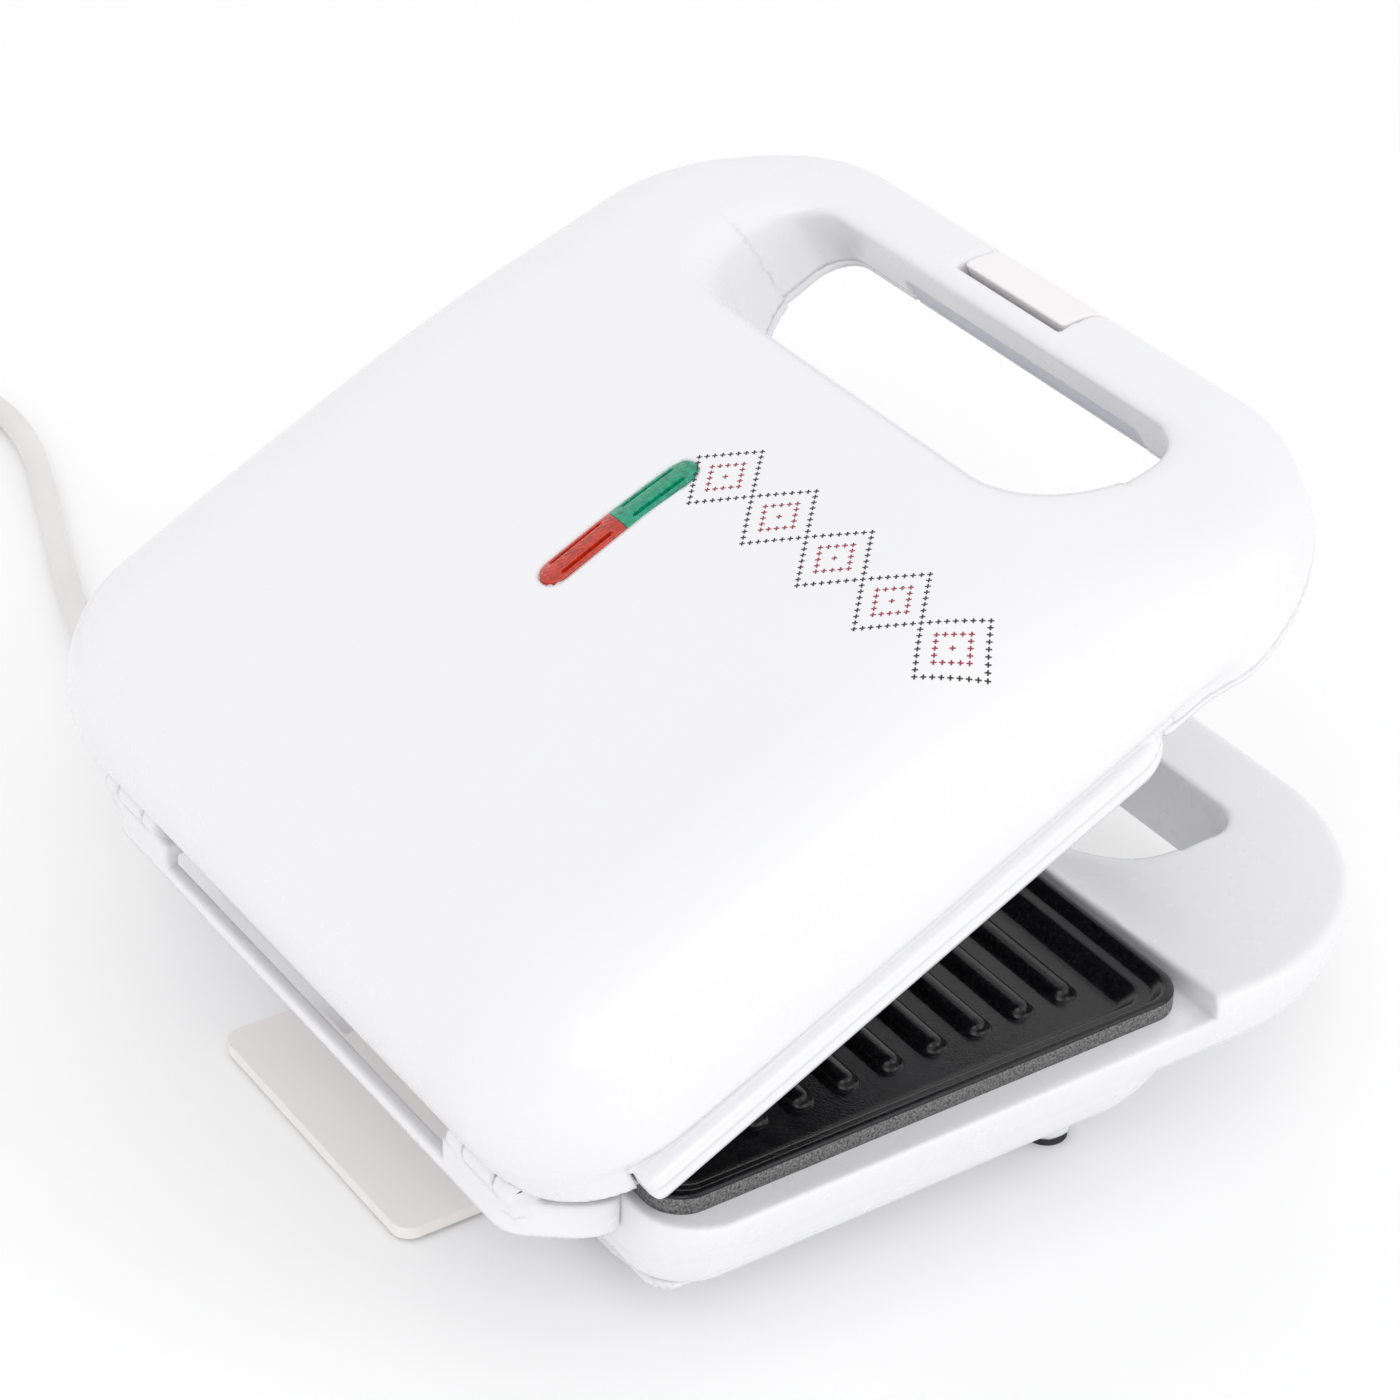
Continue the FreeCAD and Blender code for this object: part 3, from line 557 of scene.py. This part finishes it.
def make_strain_relief():
    """Tapered sleeve with cut rings, held in the base wall by a grooved shank."""
    profile = [(0, 3.9), (0.3, 4.4), (4, 4.5), (4.3, 3.9), (6.7, 3.9), (7, 4.5), (11.8, 4.5), (12, 5.2),
               (12.4, 5.7), (13.6, 5.8), (14.2, 5.5), (14.5, 5.2)]
    rings = 7
    for n in range(rings):
        start = 16 + n * 3.4
        r = 5.15 - 0.13 * n
        profile += [(start, r), (start + 0.2, r - 0.55), (start + 1.0, r - 0.6), (start + 1.2, r - 0.05)]
    profile += [(44.0, 4.15), (44.8, 4.05), (45, 3.7)]
    start = to_world([(95, 36, 18)])[0] / MM
    relief = lathe("cord_strain_relief", profile, start, (1, 0, 0), VINYL, "base")
    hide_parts("strain_relief")
    return relief


def make_plug(tip):
    """Round earthed plug: ribbed neck, shoulder with grip flutes, flat face."""
    profile = [(0, 3.8), (0.4, 4.5)]
    for n in range(4):
        start = 1.6 + 3.4 * n
        r = 4.8 + 0.55 * n
        profile += [(start, r), (start + 0.3, r - 0.6), (start + 1.5, r - 0.5), (start + 1.8, r + 0.15)]
    profile += [(15.6, 7.0), (16.4, 8.6), (17.4, 9.6), (20, 10.9, 0.3), (26, 13.4, 1.0), (32, 15.9, 1.0),
                (35, 17.0, 0.6), (36.4, 18.0), (37.4, 18.5), (39, 18.6), (39.4, 18.2), (40.2, 18.2),
                (40.6, 18.6), (51, 18.6), (52.2, 18.3), (52.8, 17.6), (53, 16.6), (53, 12.0), (53, 4.0)]
    plug = lathe("mains_plug", profile, tip, (0, 1, 0), VINYL, "base", 96, 12, 0.9)
    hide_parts("plug_body")
    pins = []
    for side in (-1, 1):
        start = tip + Vector((side * 9.5, 53, 0))
        shape = [(-2, 2.4), (0.6, 2.4), (0.7, 2.25), (9.5, 2.25), (9.8, 2.4), (17, 2.4), (17.8, 2.25),
                 (18.5, 1.8), (19, 1.1)]
        name = "mains_pin_left" if side < 0 else "mains_pin_right"
        pin = lathe(name, shape, start, (0, 1, 0), NICKEL, "base")
        pins.append(pin)
    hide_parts("plug_pins")
    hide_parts("plug_pins")
    return [plug] + pins


def flat_loop(reach, low, high, steps=8):
    """Points (y, z) of a flat loop with round ends."""
    r = (high - low) / 2
    points = []
    for side, first in ((1, -90), (-1, 90)):
        for k in range(steps + 1):
            a = math.radians(first + 180 * k / steps)
            points.append((side * (reach - r) + r * math.cos(a), low + r + r * math.sin(a)))
    return points


def make_tie(middle):
    """Strap wound round the coil's turns."""
    inner_turn = COIL_TURN - COIL_PITCH * COIL_DEGREES / 360
    centre = middle + Vector((0, (COIL_TURN + inner_turn) / 2, -middle.z))
    reach = (COIL_TURN - inner_turn) / 2 + CORD_RADIUS + 1.3
    rings = []
    for x, thin in ((-4.3, 0.3), (-4.0, 0.0), (4.0, 0.0), (4.3, 0.3), (4.3, 0.7), (-4.3, 0.7)):
        loop = flat_loop(reach - thin, 0.1 + thin, 8.4 - thin)
        rings.append([tuple((centre + Vector((x, y, z))) * MM) for y, z in loop])
    points, faces = skin(rings, True)
    tie = mesh_object("coil_strap", points, faces, "base", RUBBER)
    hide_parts("coil_tie")
    return tie


# ---- lid ---------------------------------------------------------------------
LID_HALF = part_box("lid_shell")[1][0] / MM
LID_FRONT = 225.5
LID_REAR = -2.2
LID_EDGE = 55.6
BULGE_Z = 60.5
WINDOW_HALF = 66.0
WINDOW_FRONT = 208.7
WINDOW_REAR = 171.0
BELT_FRONT = 160.6
BELT_REAR = 18.0              # behind this the shell itself reaches down past the belt
KNUCKLE_SPAN = (63.4, 88.6)
LID_SCREWS = ((90, 12), (88, 176))      # x and distance
LENS_HALF = 3.7
LENS_FRONT = 130.8
LENS_REAR = 88.8
LENS_MIDDLE = (LENS_FRONT + LENS_REAR) / 2


def lid_crown(d):
    """Height of the lid's middle line, falling towards the handle."""
    return curve(d, [(-5, 90.6), (40, 91.9), (80, 92.2), (118, 91.6), (140, 89.6), (160, 86.0),
                     (178, 80.8), (196, 74.6), (210, 70.4), (218, 69.0), (228, 68.4)])


def lid_skin(x, d, z, inset=0.0):
    """Outer form of the lid: bulging sides under a pillow-shaped top."""
    bowed = x * (1 + 0.014 * (np.minimum(d - 95, 0) / 100) ** 2)
    s = -outline_field(bowed, d, LID_HALF, LID_FRONT, LID_REAR, 50.0, 33.0) - inset
    crown = lid_crown(d) - inset
    shoulder = 36.0 - 22.0 * smooth_step(150, 205, d)
    rise = np.clip((z - BULGE_Z) / (crown - BULGE_Z), 0, None)
    reach = np.clip((shoulder - s) / shoulder, 0, None)
    size = (reach ** 2.3 + rise ** 2.3) ** (1 / 2.3) - 1
    at_rear = smooth_step(24, 6, d)
    tuck = 2.5 * smooth_step(BULGE_Z, 55.8, z) * smooth_step(182, 168, d) * (1 - at_rear)
    tuck = tuck + 0.127 * np.clip(BULGE_Z - z, 0, None) * at_rear
    return np.maximum(size * 26.0, tuck - s)


def window_field(x, d, z, grow=0.0):
    lift = np.clip((z - 50.0) / 45.0, 0, 1)
    half = WINDOW_HALF - 2.0 + 10.0 * lift
    return outline_field(x, d, half, WINDOW_FRONT - 2.5 * lift, WINDOW_REAR - 1.5 * lift, 9.0 + 5 * lift,
                         26.0) - grow


def lid_solid(x, d, z):
    return cut_from(lid_skin(x, d, z), window_field(x, d, z), 9.0)


def finger_recess(x, d, z):
    """Long hollow in the window side of the handle bar, filled by a darker strip whose colour paints the
    shade under the handle bar.
    """
    return box_field(x, d, z, (-46, 200, 40.0), (37, 210.6, 58.4), 1.0)


def latch_room(x, d, z):
    return box_field(x, d, z, (-18.5, 212.9, 40), (18.5, 250, 90), 0.6)


def lens_field(x, d, grow=0.0):
    half_length = (LENS_FRONT - LENS_REAR) / 2 - LENS_HALF
    return np.hypot(x, np.maximum(np.abs(d - LENS_MIDDLE) - half_length, 0)) - LENS_HALF - grow


def knuckle_room(x, d, z, radius):
    return both(np.hypot(d, z - HINGE_Z) - radius, slab(np.abs(x), *KNUCKLE_SPAN), 0.2)


def lid_shell_field(x, d, z):
    wall = 3.4
    cavity = lid_skin(x, d, z, wall)
    cavity = cut_from(cavity, window_field(x, d, z, wall + 1.0), 2.0)
    cavity = both(cavity, slab(d, 0.6, 203), 0.5)
    body = cut_from(lid_solid(x, d, z), cavity, 0.4)
    body = cut_from(body, both(slab(d, BELT_REAR, BELT_FRONT), z - LID_EDGE, 0.8), 0.8)
    body = cut_from(body, both(BELT_FRONT - d, z - 53.2, 0.6), 0.6)
    body = both(body, 49.0 - z, 0.8)
    body = cut_from(body, latch_room(x, d, z), 0.8)
    body = cut_from(body, knuckle_room(x, d, z, 3.4), 0.2)
    body = cut_from(body, finger_recess(x, d, z), 0.3)
    return cut_from(body, np.maximum(lens_field(x, d, 0.12), 86.0 - z), 0.4)


def make_lid_shell():
    step = 1.2
    shell = field_object("lid_shell_skin", lid_shell_field, (-116, -5, 48), (116, 228, 94), step,
                         "lid", WHITE, True, "lid_shell")


def lid_frame_field(x, d, z):
    """Belt below the shell with a stepped edge, flange, handle underside and hinge knuckles."""
    ledge = 113.6 - 1.2 * smooth_step(51.8, 51.0, z) - 0.5 * smooth_step(54.0, 54.8, z)
    belt = both(outline_field(x, d, ledge, BELT_FRONT, 8.5, 12.0, 10.0), slab(z, 47.0, 54.9), 1.1)
    belt = cut_from(belt, both(158.6 - d, z - 50.9, 0.4), 0.5)
    behind = both(d - BELT_REAR - 0.4, -lid_skin(x, d, BULGE_Z, 3.8))
    belt = cut_from(belt, behind, 2.5)
    belt = cut_from(belt, outline_field(x, d, PLATE_HALF + 0.9, 158.0, 17.0, 12.0, 10.0), 0.6)
    belt = cut_from(belt, both(both(slab(d, -5, 31), slab(x, -98, 98)), z - 52.2), 0.5)
    flange = both(lid_skin(x, d, z, 0.3), slab(z, 53.8, 57.4), 0.3)
    flange = both(flange, d - 167.0, 0.4)
    under = both(lid_skin(x, d, np.maximum(z, 53.0)) + 0.8, slab(z, 50.8, 53.4), 0.8)
    under = both(under, 158.2 - d, 0.8)
    web = both(outline_field(x, d, 109.6, 167.0, 2.0, 14.0, 30.0), slab(z, 50.8, 58.0), 0.5)
    web = both(web, 158.2 - d, 0.4)
    knuckle = both(np.hypot(d, z - HINGE_Z) - 3.2, slab(np.abs(x), 70.3, 81.7), 0.4)
    arm = both(both(slab(d, 1.9, 5.6), slab(z, HINGE_Z, 58.0)), slab(np.abs(x), 70.3, 81.7), 0.4)
    body = either(either(belt, flange, 0.4), either(under, web, 0.8), 0.4)
    opening = outline_field(x, d, PLATE_HALF - 1.8, PLATE_FRONT - 1.8, PLATE_REAR + 1.8, 11.0, 11.0)
    body = cut_from(body, opening, 0.4)
    body = either(body, either(knuckle, arm, 1.5), 0.6)
    body = cut_from(body, np.hypot(d, z - HINGE_Z) - 1.35, 0.1)
    body = cut_from(cut_from(body, window_field(x, d, z), 1.6), latch_room(x, d, z), 0.6)
    body = cut_from(body, finger_recess(x, d, z), 0.1)
    for at_x, at_d in LID_SCREWS:
        body = cut_from(body, post_field(x, d, z, at_x, at_d, 3.4, 40, 53.4), 0.3)
    return body


def make_lid_frame():
    step = 1.1
    belt = field_object("lid_belt", lid_frame_field, (-116, -5, 43.5), (116, 228, 59), step,
                        "lid", WHITE, True, "lid_frame")


# painted shade: a strip of darker lavender grey set into the hollow under the handle bar, where the window
# wall lies only in shade
def shade_strip_field(x, d, z):
    body = box_field(x, d, z, (-45.8, 200, 50.9), (36.8, 210.4, 58.2), 0.8)
    seam = 0.3 * smooth_step(0.5, 0.2, np.abs(z - 52.9))
    return cut_from(body, window_field(x, d, z, 0.45) - seam, 0.4)


def make_shade_strip():
    strip = field_object("handle_painted_shade_strip", shade_strip_field, (-47, 204, 50), (38, 212, 60),
                         0.5, "lid", PAINTED_SHADE, True)


def latch_field(x, d, z):
    block = box_field(x, d, z, (-17.9, 214.7, 51.8), (17.9, 240, 80), 1.4)
    tile = both(lid_skin(x, d, z) - 0.1, block, 1.3)
    arm = box_field(x, d, z, (-9, 221, 41.2), (9, 224, 56), 0.6)
    nose = box_field(x, d, z, (-9, 215.6, 41.2), (9, 224, 44.6), 0.7)
    return either(tile, either(arm, nose, 1.2), 0.8)


def make_latch():
    tile = field_object("latch_tile", latch_field, (-19, 212, 40), (19, 228, 71), 0.55,
                        "latch", TILE, True, "latch")


def lens_body(x, d, z):
    """Lens bar with a knurled middle band between two slots."""
    crown = lid_crown(d)
    knurl = 0.16 * np.abs(((d / 1.15) % 1.0) * 2 - 1) * np.abs(((x / 1.15 + d / 2.3) % 1.0) * 2 - 1)
    rows = smooth_step(1.7, 1.3, np.abs(x - 0.2))
    top = crown + 0.42 - 0.05 * x ** 2 + knurl * rows
    ends = np.minimum(np.abs(d - LENS_REAR), np.abs(d - LENS_FRONT))
    ends = np.minimum(ends, np.abs(d - LENS_MIDDLE) + 1.2)
    slots = smooth_step(0.55, 0.2, np.abs(np.abs(x - 0.1) - 2.2)) * smooth_step(3.5, 5.0, ends)
    body = both(lens_field(x, d, 0.0), z - top + 1.3 * slots, 0.5)
    return both(body, 88.4 - z)


def make_lens():
    for name, low, high, material in (("green_lens", LENS_MIDDLE + 0.05, LENS_FRONT + 2, GREEN),
                                      ("red_lens", LENS_REAR - 2, LENS_MIDDLE - 0.05, RED)):
        def half(x, d, z, low=low, high=high):
            return both(lens_body(x, d, z), slab(d, low, high), 0.15)
        bar = field_object(name + "_bar", half, (-4.5, low - 0.5, 88), (4.5, high + 0.5, 93.5),
                           0.22, "lid", material, True, name)


# ---- ornament ----------------------------------------------------------------
STITCH = 1.75                 # spacing of the stitches
ORNAMENT = (-49.0, 132.6)     # x and distance of the band's middle
LOZENGE = 4                   # half width of one lozenge, in stitches


def stitch_list():
    """Dark and red stitches (u, v) of a plain band of equal lozenges, one inside another."""
    dark, red = [], []
    for n in range(-2, 3):
        middle = 2 * LOZENGE * n
        for store, reach in ((dark, LOZENGE), (red, LOZENGE // 2)):
            for t in range(-reach, reach):
                for u, v in ((t, -reach), (reach, t), (-t, reach), (-reach, -t)):
                    store.append((middle + u, middle + v))
        red.append((middle, middle))
    return sorted(set(dark)), sorted(set(red))


def surface_height(x, d):
    """Height of the lid's top at a place in plan."""
    low = np.full(x.shape, BULGE_Z + 4.0)
    high = np.full(x.shape, 96.0)
    for _ in range(30):
        mid = (low + high) / 2
        inside = lid_skin(x, d, mid) < 0
        low, high = np.where(inside, mid, low), np.where(inside, high, mid)
    return (low + high) / 2


def make_ornament():
    half_turn = math.sqrt(0.5)
    arm, thick, proud = 0.62, 0.17, 0.05
    dark, red = stitch_list()
    for name, places, material in (("dark_stitches", dark, INK_DARK), ("red_stitches", red, INK_RED)):
        flat, faces = [], []
        for u, v in places:
            cx = ORNAMENT[0] + (u + v) * half_turn * STITCH
            cd = ORNAMENT[1] + (u - v) * half_turn * STITCH
            corners = ((-arm, -thick), (arm, -thick), (arm, thick), (-arm, thick))
            for turn in (45, 135):
                c, s = math.cos(math.radians(turn)), math.sin(math.radians(turn))
                first = len(flat)
                for px, py in corners:
                    flat.append((cx + px * c - py * s, cd + px * s + py * c))
                faces.append(tuple(range(first, first + 4)))
        flat = np.array(flat)
        height = surface_height(flat[:, 0], flat[:, 1]) + proud
        points = np.column_stack([flat, height])
        stitches = mesh_object(name, to_world(points, True), faces, "lid", material)


# ---- cooking plates ----------------------------------------------------------
# Section of a plate's rim, from its underside over the edge to the floor: (inset, height over the rim).
RIM = [(2.1, -9.6), (2.1, -5.0), (0.3, -5.0), (0.0, -4.7), (0.0, -0.8), (0.25, -0.25), (0.8, 0.0), (1.5, 0.0),
       (2.0, -0.2), (2.4, -0.7), (3.5, -2.5), (3.8, -2.85), (4.2, -2.95), (5.6, -3.0), (6.1, -3.05),
       (6.6, -3.3), (9.3, -6.8), (9.8, -7.2), (10.4, -7.4), (12.0, -7.4)]
BLASTED_RINGS = (2, 3)
# Section of half a rib: (half width, height over the floor).
RIB = [(4.3, -0.1), (3.6, 0.06), (3.1, 0.35), (2.75, 0.85), (2.5, 1.4), (2.1, 2.0), (1.5, 2.4), (0.8, 2.6),
       (0.1, 2.65)]
RIB_COUNT = 9
RIB_FRONT = 138.8
RIB_PITCH = 11.7
RIB_ROWS = [RIB_FRONT - RIB_PITCH * n for n in range(RIB_COUNT)]
RIB_HALF = 86.8
MIRROR_Z = 50.3


def plate_piece(name, node, body, in_lid):
    def height(z):
        return 2 * MIRROR_Z - z if in_lid else z

    rings = []
    for inset, drop in RIM:
        radius = max(8.6 - 0.45 * inset, 3.2)
        ring = rounded_ring(PLATE_HALF - inset, PLATE_FRONT - inset, PLATE_REAR + inset, radius)
        rings.append([(x, d, height(RIM_Z + drop)) for x, d in ring])
    count = len(rings[0])
    points, faces = skin(rings)
    blasted = [r * count + k for r in BLASTED_RINGS for k in range(count)]
    floor = RIM_Z + RIM[-1][1]
    for row in RIB_ROWS:
        rib = [[(x, row + off, height(floor + up)) for x, off in stadium_ring(RIB_HALF, r)] for r, up in RIB]
        more, more_faces = skin(rib)
        first = len(points)
        points += more
        faces += [tuple(i + first for i in f) for f in more_faces]
    plate = mesh_object(name, to_world(points, in_lid), faces, body, NONSTICK)
    plate.data.materials.append(BLASTED)
    for index in blasted:
        plate.data.polygons[index].material_index = 1
    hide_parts(node)


# ---- base --------------------------------------------------------------------
LEDGE_Z = 45.0
STEP_REACH = 159.4
BELLY_FRONT = 176.0
SEAM_Z = 24.0                 # between base frame and base cover
REAR_SHARE = 0.33             # the rear wall draws in by this share of what the others do
FEET = ((82.8, 142.2, 17.5), (62.0, 58.0, 8.6))     # x, distance and top of each boss
COVER_SCREW_X = 94
COVER_SCREW_ROWS = (140, 45)
CORD_ROW = 36                 # distance and height of the cord outlet
CORD_Z = 18


def base_inset(z):
    return curve(z, [(24, 8.2), (27.7, 5.8), (34, 3.0), (40, 1.0), (45, 0.0), (50.5, 0.0)])


def handle_inset(z):
    return curve(z, [(30, 9.0), (34, 4.2), (40, 1.0), (45, 0.0), (49, 0.1), (50.5, 0.6)])


def base_frame_field(x, d, z):
    """Belly with the plate ledge, and the handle block in front of it."""
    inset = base_inset(z)
    rear = BASE_REAR + REAR_SHARE * inset
    belly = outline_field(x, d, BASE_HALF - inset, BELLY_FRONT - inset, rear, 40 - inset, 14.0)
    belly = both(belly, slab(z, SEAM_Z, LEDGE_Z), 1.0)
    hollow = outline_field(x, d, BASE_HALF - inset - 4.2, 170 - inset, rear + 4.2, 38, 11)
    hollow = both(hollow, z - 41.6, 1.0)
    inset = handle_inset(z)
    block = outline_field(x, d, BASE_HALF - inset, BASE_FRONT - inset, BASE_REAR, 58 - inset, 14.0)
    dish = 1.7 * np.exp(-((d - 163) / 9.0) ** 2) * smooth_step(108, 60, np.abs(x))
    block = both(block, slab(z, 30.0, 50.5 - dish), 1.6)
    behind = both(d - STEP_REACH, LEDGE_Z - z)
    body = either(belly, cut_from(block, behind, 0.7), 1.0)
    finger = outline_field(x, d, WINDOW_HALF, WINDOW_FRONT, WINDOW_REAR, 9.0, 26.0)
    soft = 0.9 + 7.5 * smooth_step(196, 176, d)
    body = cut_from(body, finger, soft)
    opening = outline_field(x, d, PLATE_HALF - 1.8, PLATE_FRONT - 1.8, PLATE_REAR + 1.8, 11.0, 11.0)
    body = cut_from(body, both(opening, 30 - z), 0.5)
    body = cut_from(body, both(hollow, d - 166.5, 1.0), 0.6)
    recess = both(outline_field(x, d, BASE_HALF - 13.2, BASE_FRONT - 13.2, 40, 45, 12), 176 - d)
    recess = both(recess, z - 32.5)
    recess = cut_from(cut_from(recess, finger - 3.1), both(slab(x, -20.2, 20.2), 190 - d))
    body = cut_from(body, recess, 0.3)
    return cut_from(body, box_field(x, d, z, (-13, 212, 36), (13, 250, 70), 0.6), 0.8)


def make_base_frame():
    step = 1.15
    piece = field_object("base_frame_skin", base_frame_field, (-116, 17, 23), (116, 230.5, 52), step,
                         "base", WHITE, False, "base_frame")


def cover_inset(z):
    return curve(z, [(4, 50), (7, 40), (14, 27), (20, 16.5), (24, 8.2)])


def cover_outline(x, d, inset):
    return outline_field(x, d, BASE_HALF - inset, BELLY_FRONT - inset, BASE_REAR + REAR_SHARE * inset,
                         np.maximum(40 - inset, 12), 6.0)


def base_cover_field(x, d, z):
    """Bowl-shaped bottom with foot bosses, screw wells and the cord collar."""
    outer = both(cover_outline(x, d, cover_inset(z)) * 0.75, slab(z, 4.0, SEAM_Z), 0.8)
    inner = both(cover_outline(x, d, cover_inset(z - 2.4) + 2.0) * 0.75, 6.4 - z, 0.8)
    body = cut_from(outer, inner, 0.3)
    for at_x, at_d, top in FEET:
        body = either(body, post_field(x, d, z, at_x, at_d, 5.6, 1.8, top, 0.8), 1.5)
    outlet = np.hypot(d - CORD_ROW, z - CORD_Z)
    collar = both(outlet - 7.4, both(slab(x, 90, 107), z - SEAM_Z), 0.8)
    body = either(body, collar, 1.5)
    for at_d in COVER_SCREW_ROWS:
        post = both(post_field(x, d, z, COVER_SCREW_X, at_d, 5.2, 10, SEAM_Z), outer)
        body = either(body, post, 0.4)
        body = cut_from(body, post_field(x, d, z, COVER_SCREW_X, at_d, 3.5, 0, 19.6), 0.3)
    return cut_from(body, both(outlet - 4.5, slab(x, 80, 120)), 0.3)


def hinge_housing_field(x, d, z):
    """Rounded block behind the plates with the fixed hinge knuckles and a long notch under the lid."""
    across = np.abs(x)
    corner = (across - 96.3 + (13.1 - d) * 0.763) * 0.795
    outer = both(both(across - 96.3, corner, 4.0), both(-2.1 - d, d - BASE_REAR - 0.4), 4.0)
    body = both(outer, slab(z, 36.0, LEDGE_Z), 1.0)
    body = cut_from(body, both(outer + 3.4, z - 41.6, 0.6), 0.4)
    notch = both(both(across - 60.6, d - 4.5, 0.5), 39.4 - z, 0.5)
    body = cut_from(body, notch, 0.8)
    reach = np.abs(across - 76.0)
    barrel = both(np.hypot(d, z - HINGE_Z) - 3.2, slab(reach, 6.2, 12.0), 0.4)
    foot = both(both(slab(d, -1.6, 5.0), slab(z, 42.0, HINGE_Z)), slab(reach, 6.2, 12.0), 0.4)
    body = either(body, either(barrel, foot, 0.4), 1.2)
    body = cut_from(body, both(np.hypot(d, z - HINGE_Z) - 3.45, reach - 6.1), 0.2)
    return cut_from(body, both(np.hypot(d, z - HINGE_Z) - 1.35, reach - 11.4), 0.1)


def make_hinge_housing():
    step = 0.95
    piece = field_object("hinge_housing_skin", hinge_housing_field, (-98, -4, 35), (98, 21, 52), step,
                         "base", WHITE, False, "hinge_housing")


def make_base_cover():
    step = 1.15
    piece = field_object("base_cover_skin", base_cover_field, (-108, 21, 1), (108, 169, 25), step,
                         "base", WHITE, False, "base_cover")


# ---- pieces whose CAD shape stays --------------------------------------------
KEPT = [("white", ("base_handle_cover",), 0.5),
        ("warm", ("rear_stand",), 0.9),
        ("rubber", ("foot_front_left", "foot_front_right", "foot_rear_left", "foot_rear_right"), 0.8),
        ("steel", ("hinge_pin_left", "hinge_pin_right", "latch_keeper", "latch_pin", "latch_spring",
                   "lower_heating_element", "upper_heating_element", "lower_reflector", "upper_reflector",
                   "lower_plate_screws", "upper_plate_screws", "cover_screws", "handle_screws",
                   "stand_screws", "lid_screws", "thermostat", "thermal_fuse", "plug_earth_strips"), 0.15),
        ("inner", ("terminal_block", "lamp_holder"), 0.3),
        ("wire", ("base_wiring", "lid_wiring"), 0.0),
        ("lamp", ("green_lamp", "red_lamp"), 0.3)]


def finish_kept_nodes():
    finishes = {"white": WHITE, "warm": WARM, "rubber": RUBBER, "steel": STEEL, "inner": INNER,
                "wire": SLEEVE, "lamp": LAMP}
    for finish, names, bevel in KEPT:
        for name in names:
            node = NODES[name]
            for place in node.material_slots:
                place.material = finishes[finish]
            if bevel:
                edge = node.modifiers.new("edge", "BEVEL")
                edge.width = bevel * MM
                edge.segments = 3
                edge.limit_method = "ANGLE"
                edge.angle_limit = math.radians(40)
                edge.harden_normals = True


# ---- camera, light and floor -------------------------------------------------
def studio():
    az, el, roll = math.radians(234.76), math.radians(32.64), math.radians(2.13)
    back = Vector((math.sin(az) * math.cos(el), -math.cos(az) * math.cos(el), math.sin(el)))
    right = Vector((0, 0, 1)).cross(back).normalized()
    up = back.cross(right)
    x_axis = right * math.cos(roll) + up * math.sin(roll)
    y_axis = up * math.cos(roll) - right * math.sin(roll)
    place = Vector((-0.5924, 0.4262 + (HINGE_Y - 109.2) * MM, 0.5479))
    turn = Matrix((x_axis, y_axis, back)).transposed().to_4x4()
    data = bpy.data.cameras.new("camera")
    data.sensor_width = 36.0
    data.lens = 99.42
    data.clip_start = 0.01
    camera = bpy.data.objects.new("camera", data)
    camera.matrix_world = Matrix.Translation(place) @ turn
    bpy.context.scene.collection.objects.link(camera)
    bpy.context.scene.camera = camera

    world = bpy.data.worlds.new("studio")
    world.use_nodes = True
    world.node_tree.nodes["Background"].inputs["Color"].default_value = (1.0, 1.0, 1.0, 1)
    world.node_tree.nodes["Background"].inputs["Strength"].default_value = 0.94
    bpy.context.scene.world = world

    def softbox(name, place, target, size, power):
        light = bpy.data.lights.new(name, "AREA")
        light.shape = "RECTANGLE"
        light.size, light.size_y = size
        light.energy = power
        obj = bpy.data.objects.new(name, light)
        way = Vector(target) - Vector(place)
        obj.matrix_world = Matrix.Translation(place) @ way.to_track_quat("-Z", "Y").to_matrix().to_4x4()
        bpy.context.scene.collection.objects.link(obj)

    softbox("key", (-1.3, 1.0, 1.5), (0, 0, 0.08), (1.3, 1.3), 8)
    softbox("fill", (-1.4, -1.1, 0.9), (0, 0, 0.08), (1.0, 1.4), 4)

    mesh = bpy.data.meshes.new("floor")
    mesh.from_pydata([(-6, -6, 0), (6, -6, 0), (6, 6, 0), (-6, 6, 0)], [], [(0, 1, 2, 3)])
    floor = bpy.data.objects.new("floor", mesh)
    bpy.context.scene.collection.objects.link(floor)
    paper = Finish("paper", (0.97, 0.97, 0.972), 0.95)
    paper.colours(paper.noise(3, 2), (0.965, 0.965, 0.968), (0.975, 0.975, 0.977))
    mesh.materials.append(paper.material)
    bpy.context.scene.view_settings.view_transform = "Standard"


studio()
cord, cord_points, coil_middle = make_cord()
cord_pieces = [make_strain_relief(), make_tie(coil_middle), NODES["plug_earth_strips"]]
cord_pieces += make_plug(Vector(cord_points[-1]) / MM)
make_base_frame()
make_base_cover()
make_hinge_housing()
plate_piece("lower_plate", "lower_grill_plate", "base", False)
plate_piece("upper_plate", "upper_grill_plate", "lid", True)
make_lid_shell()
make_lid_frame()
make_shade_strip()
make_latch()
make_lens()
make_ornament()
finish_kept_nodes()
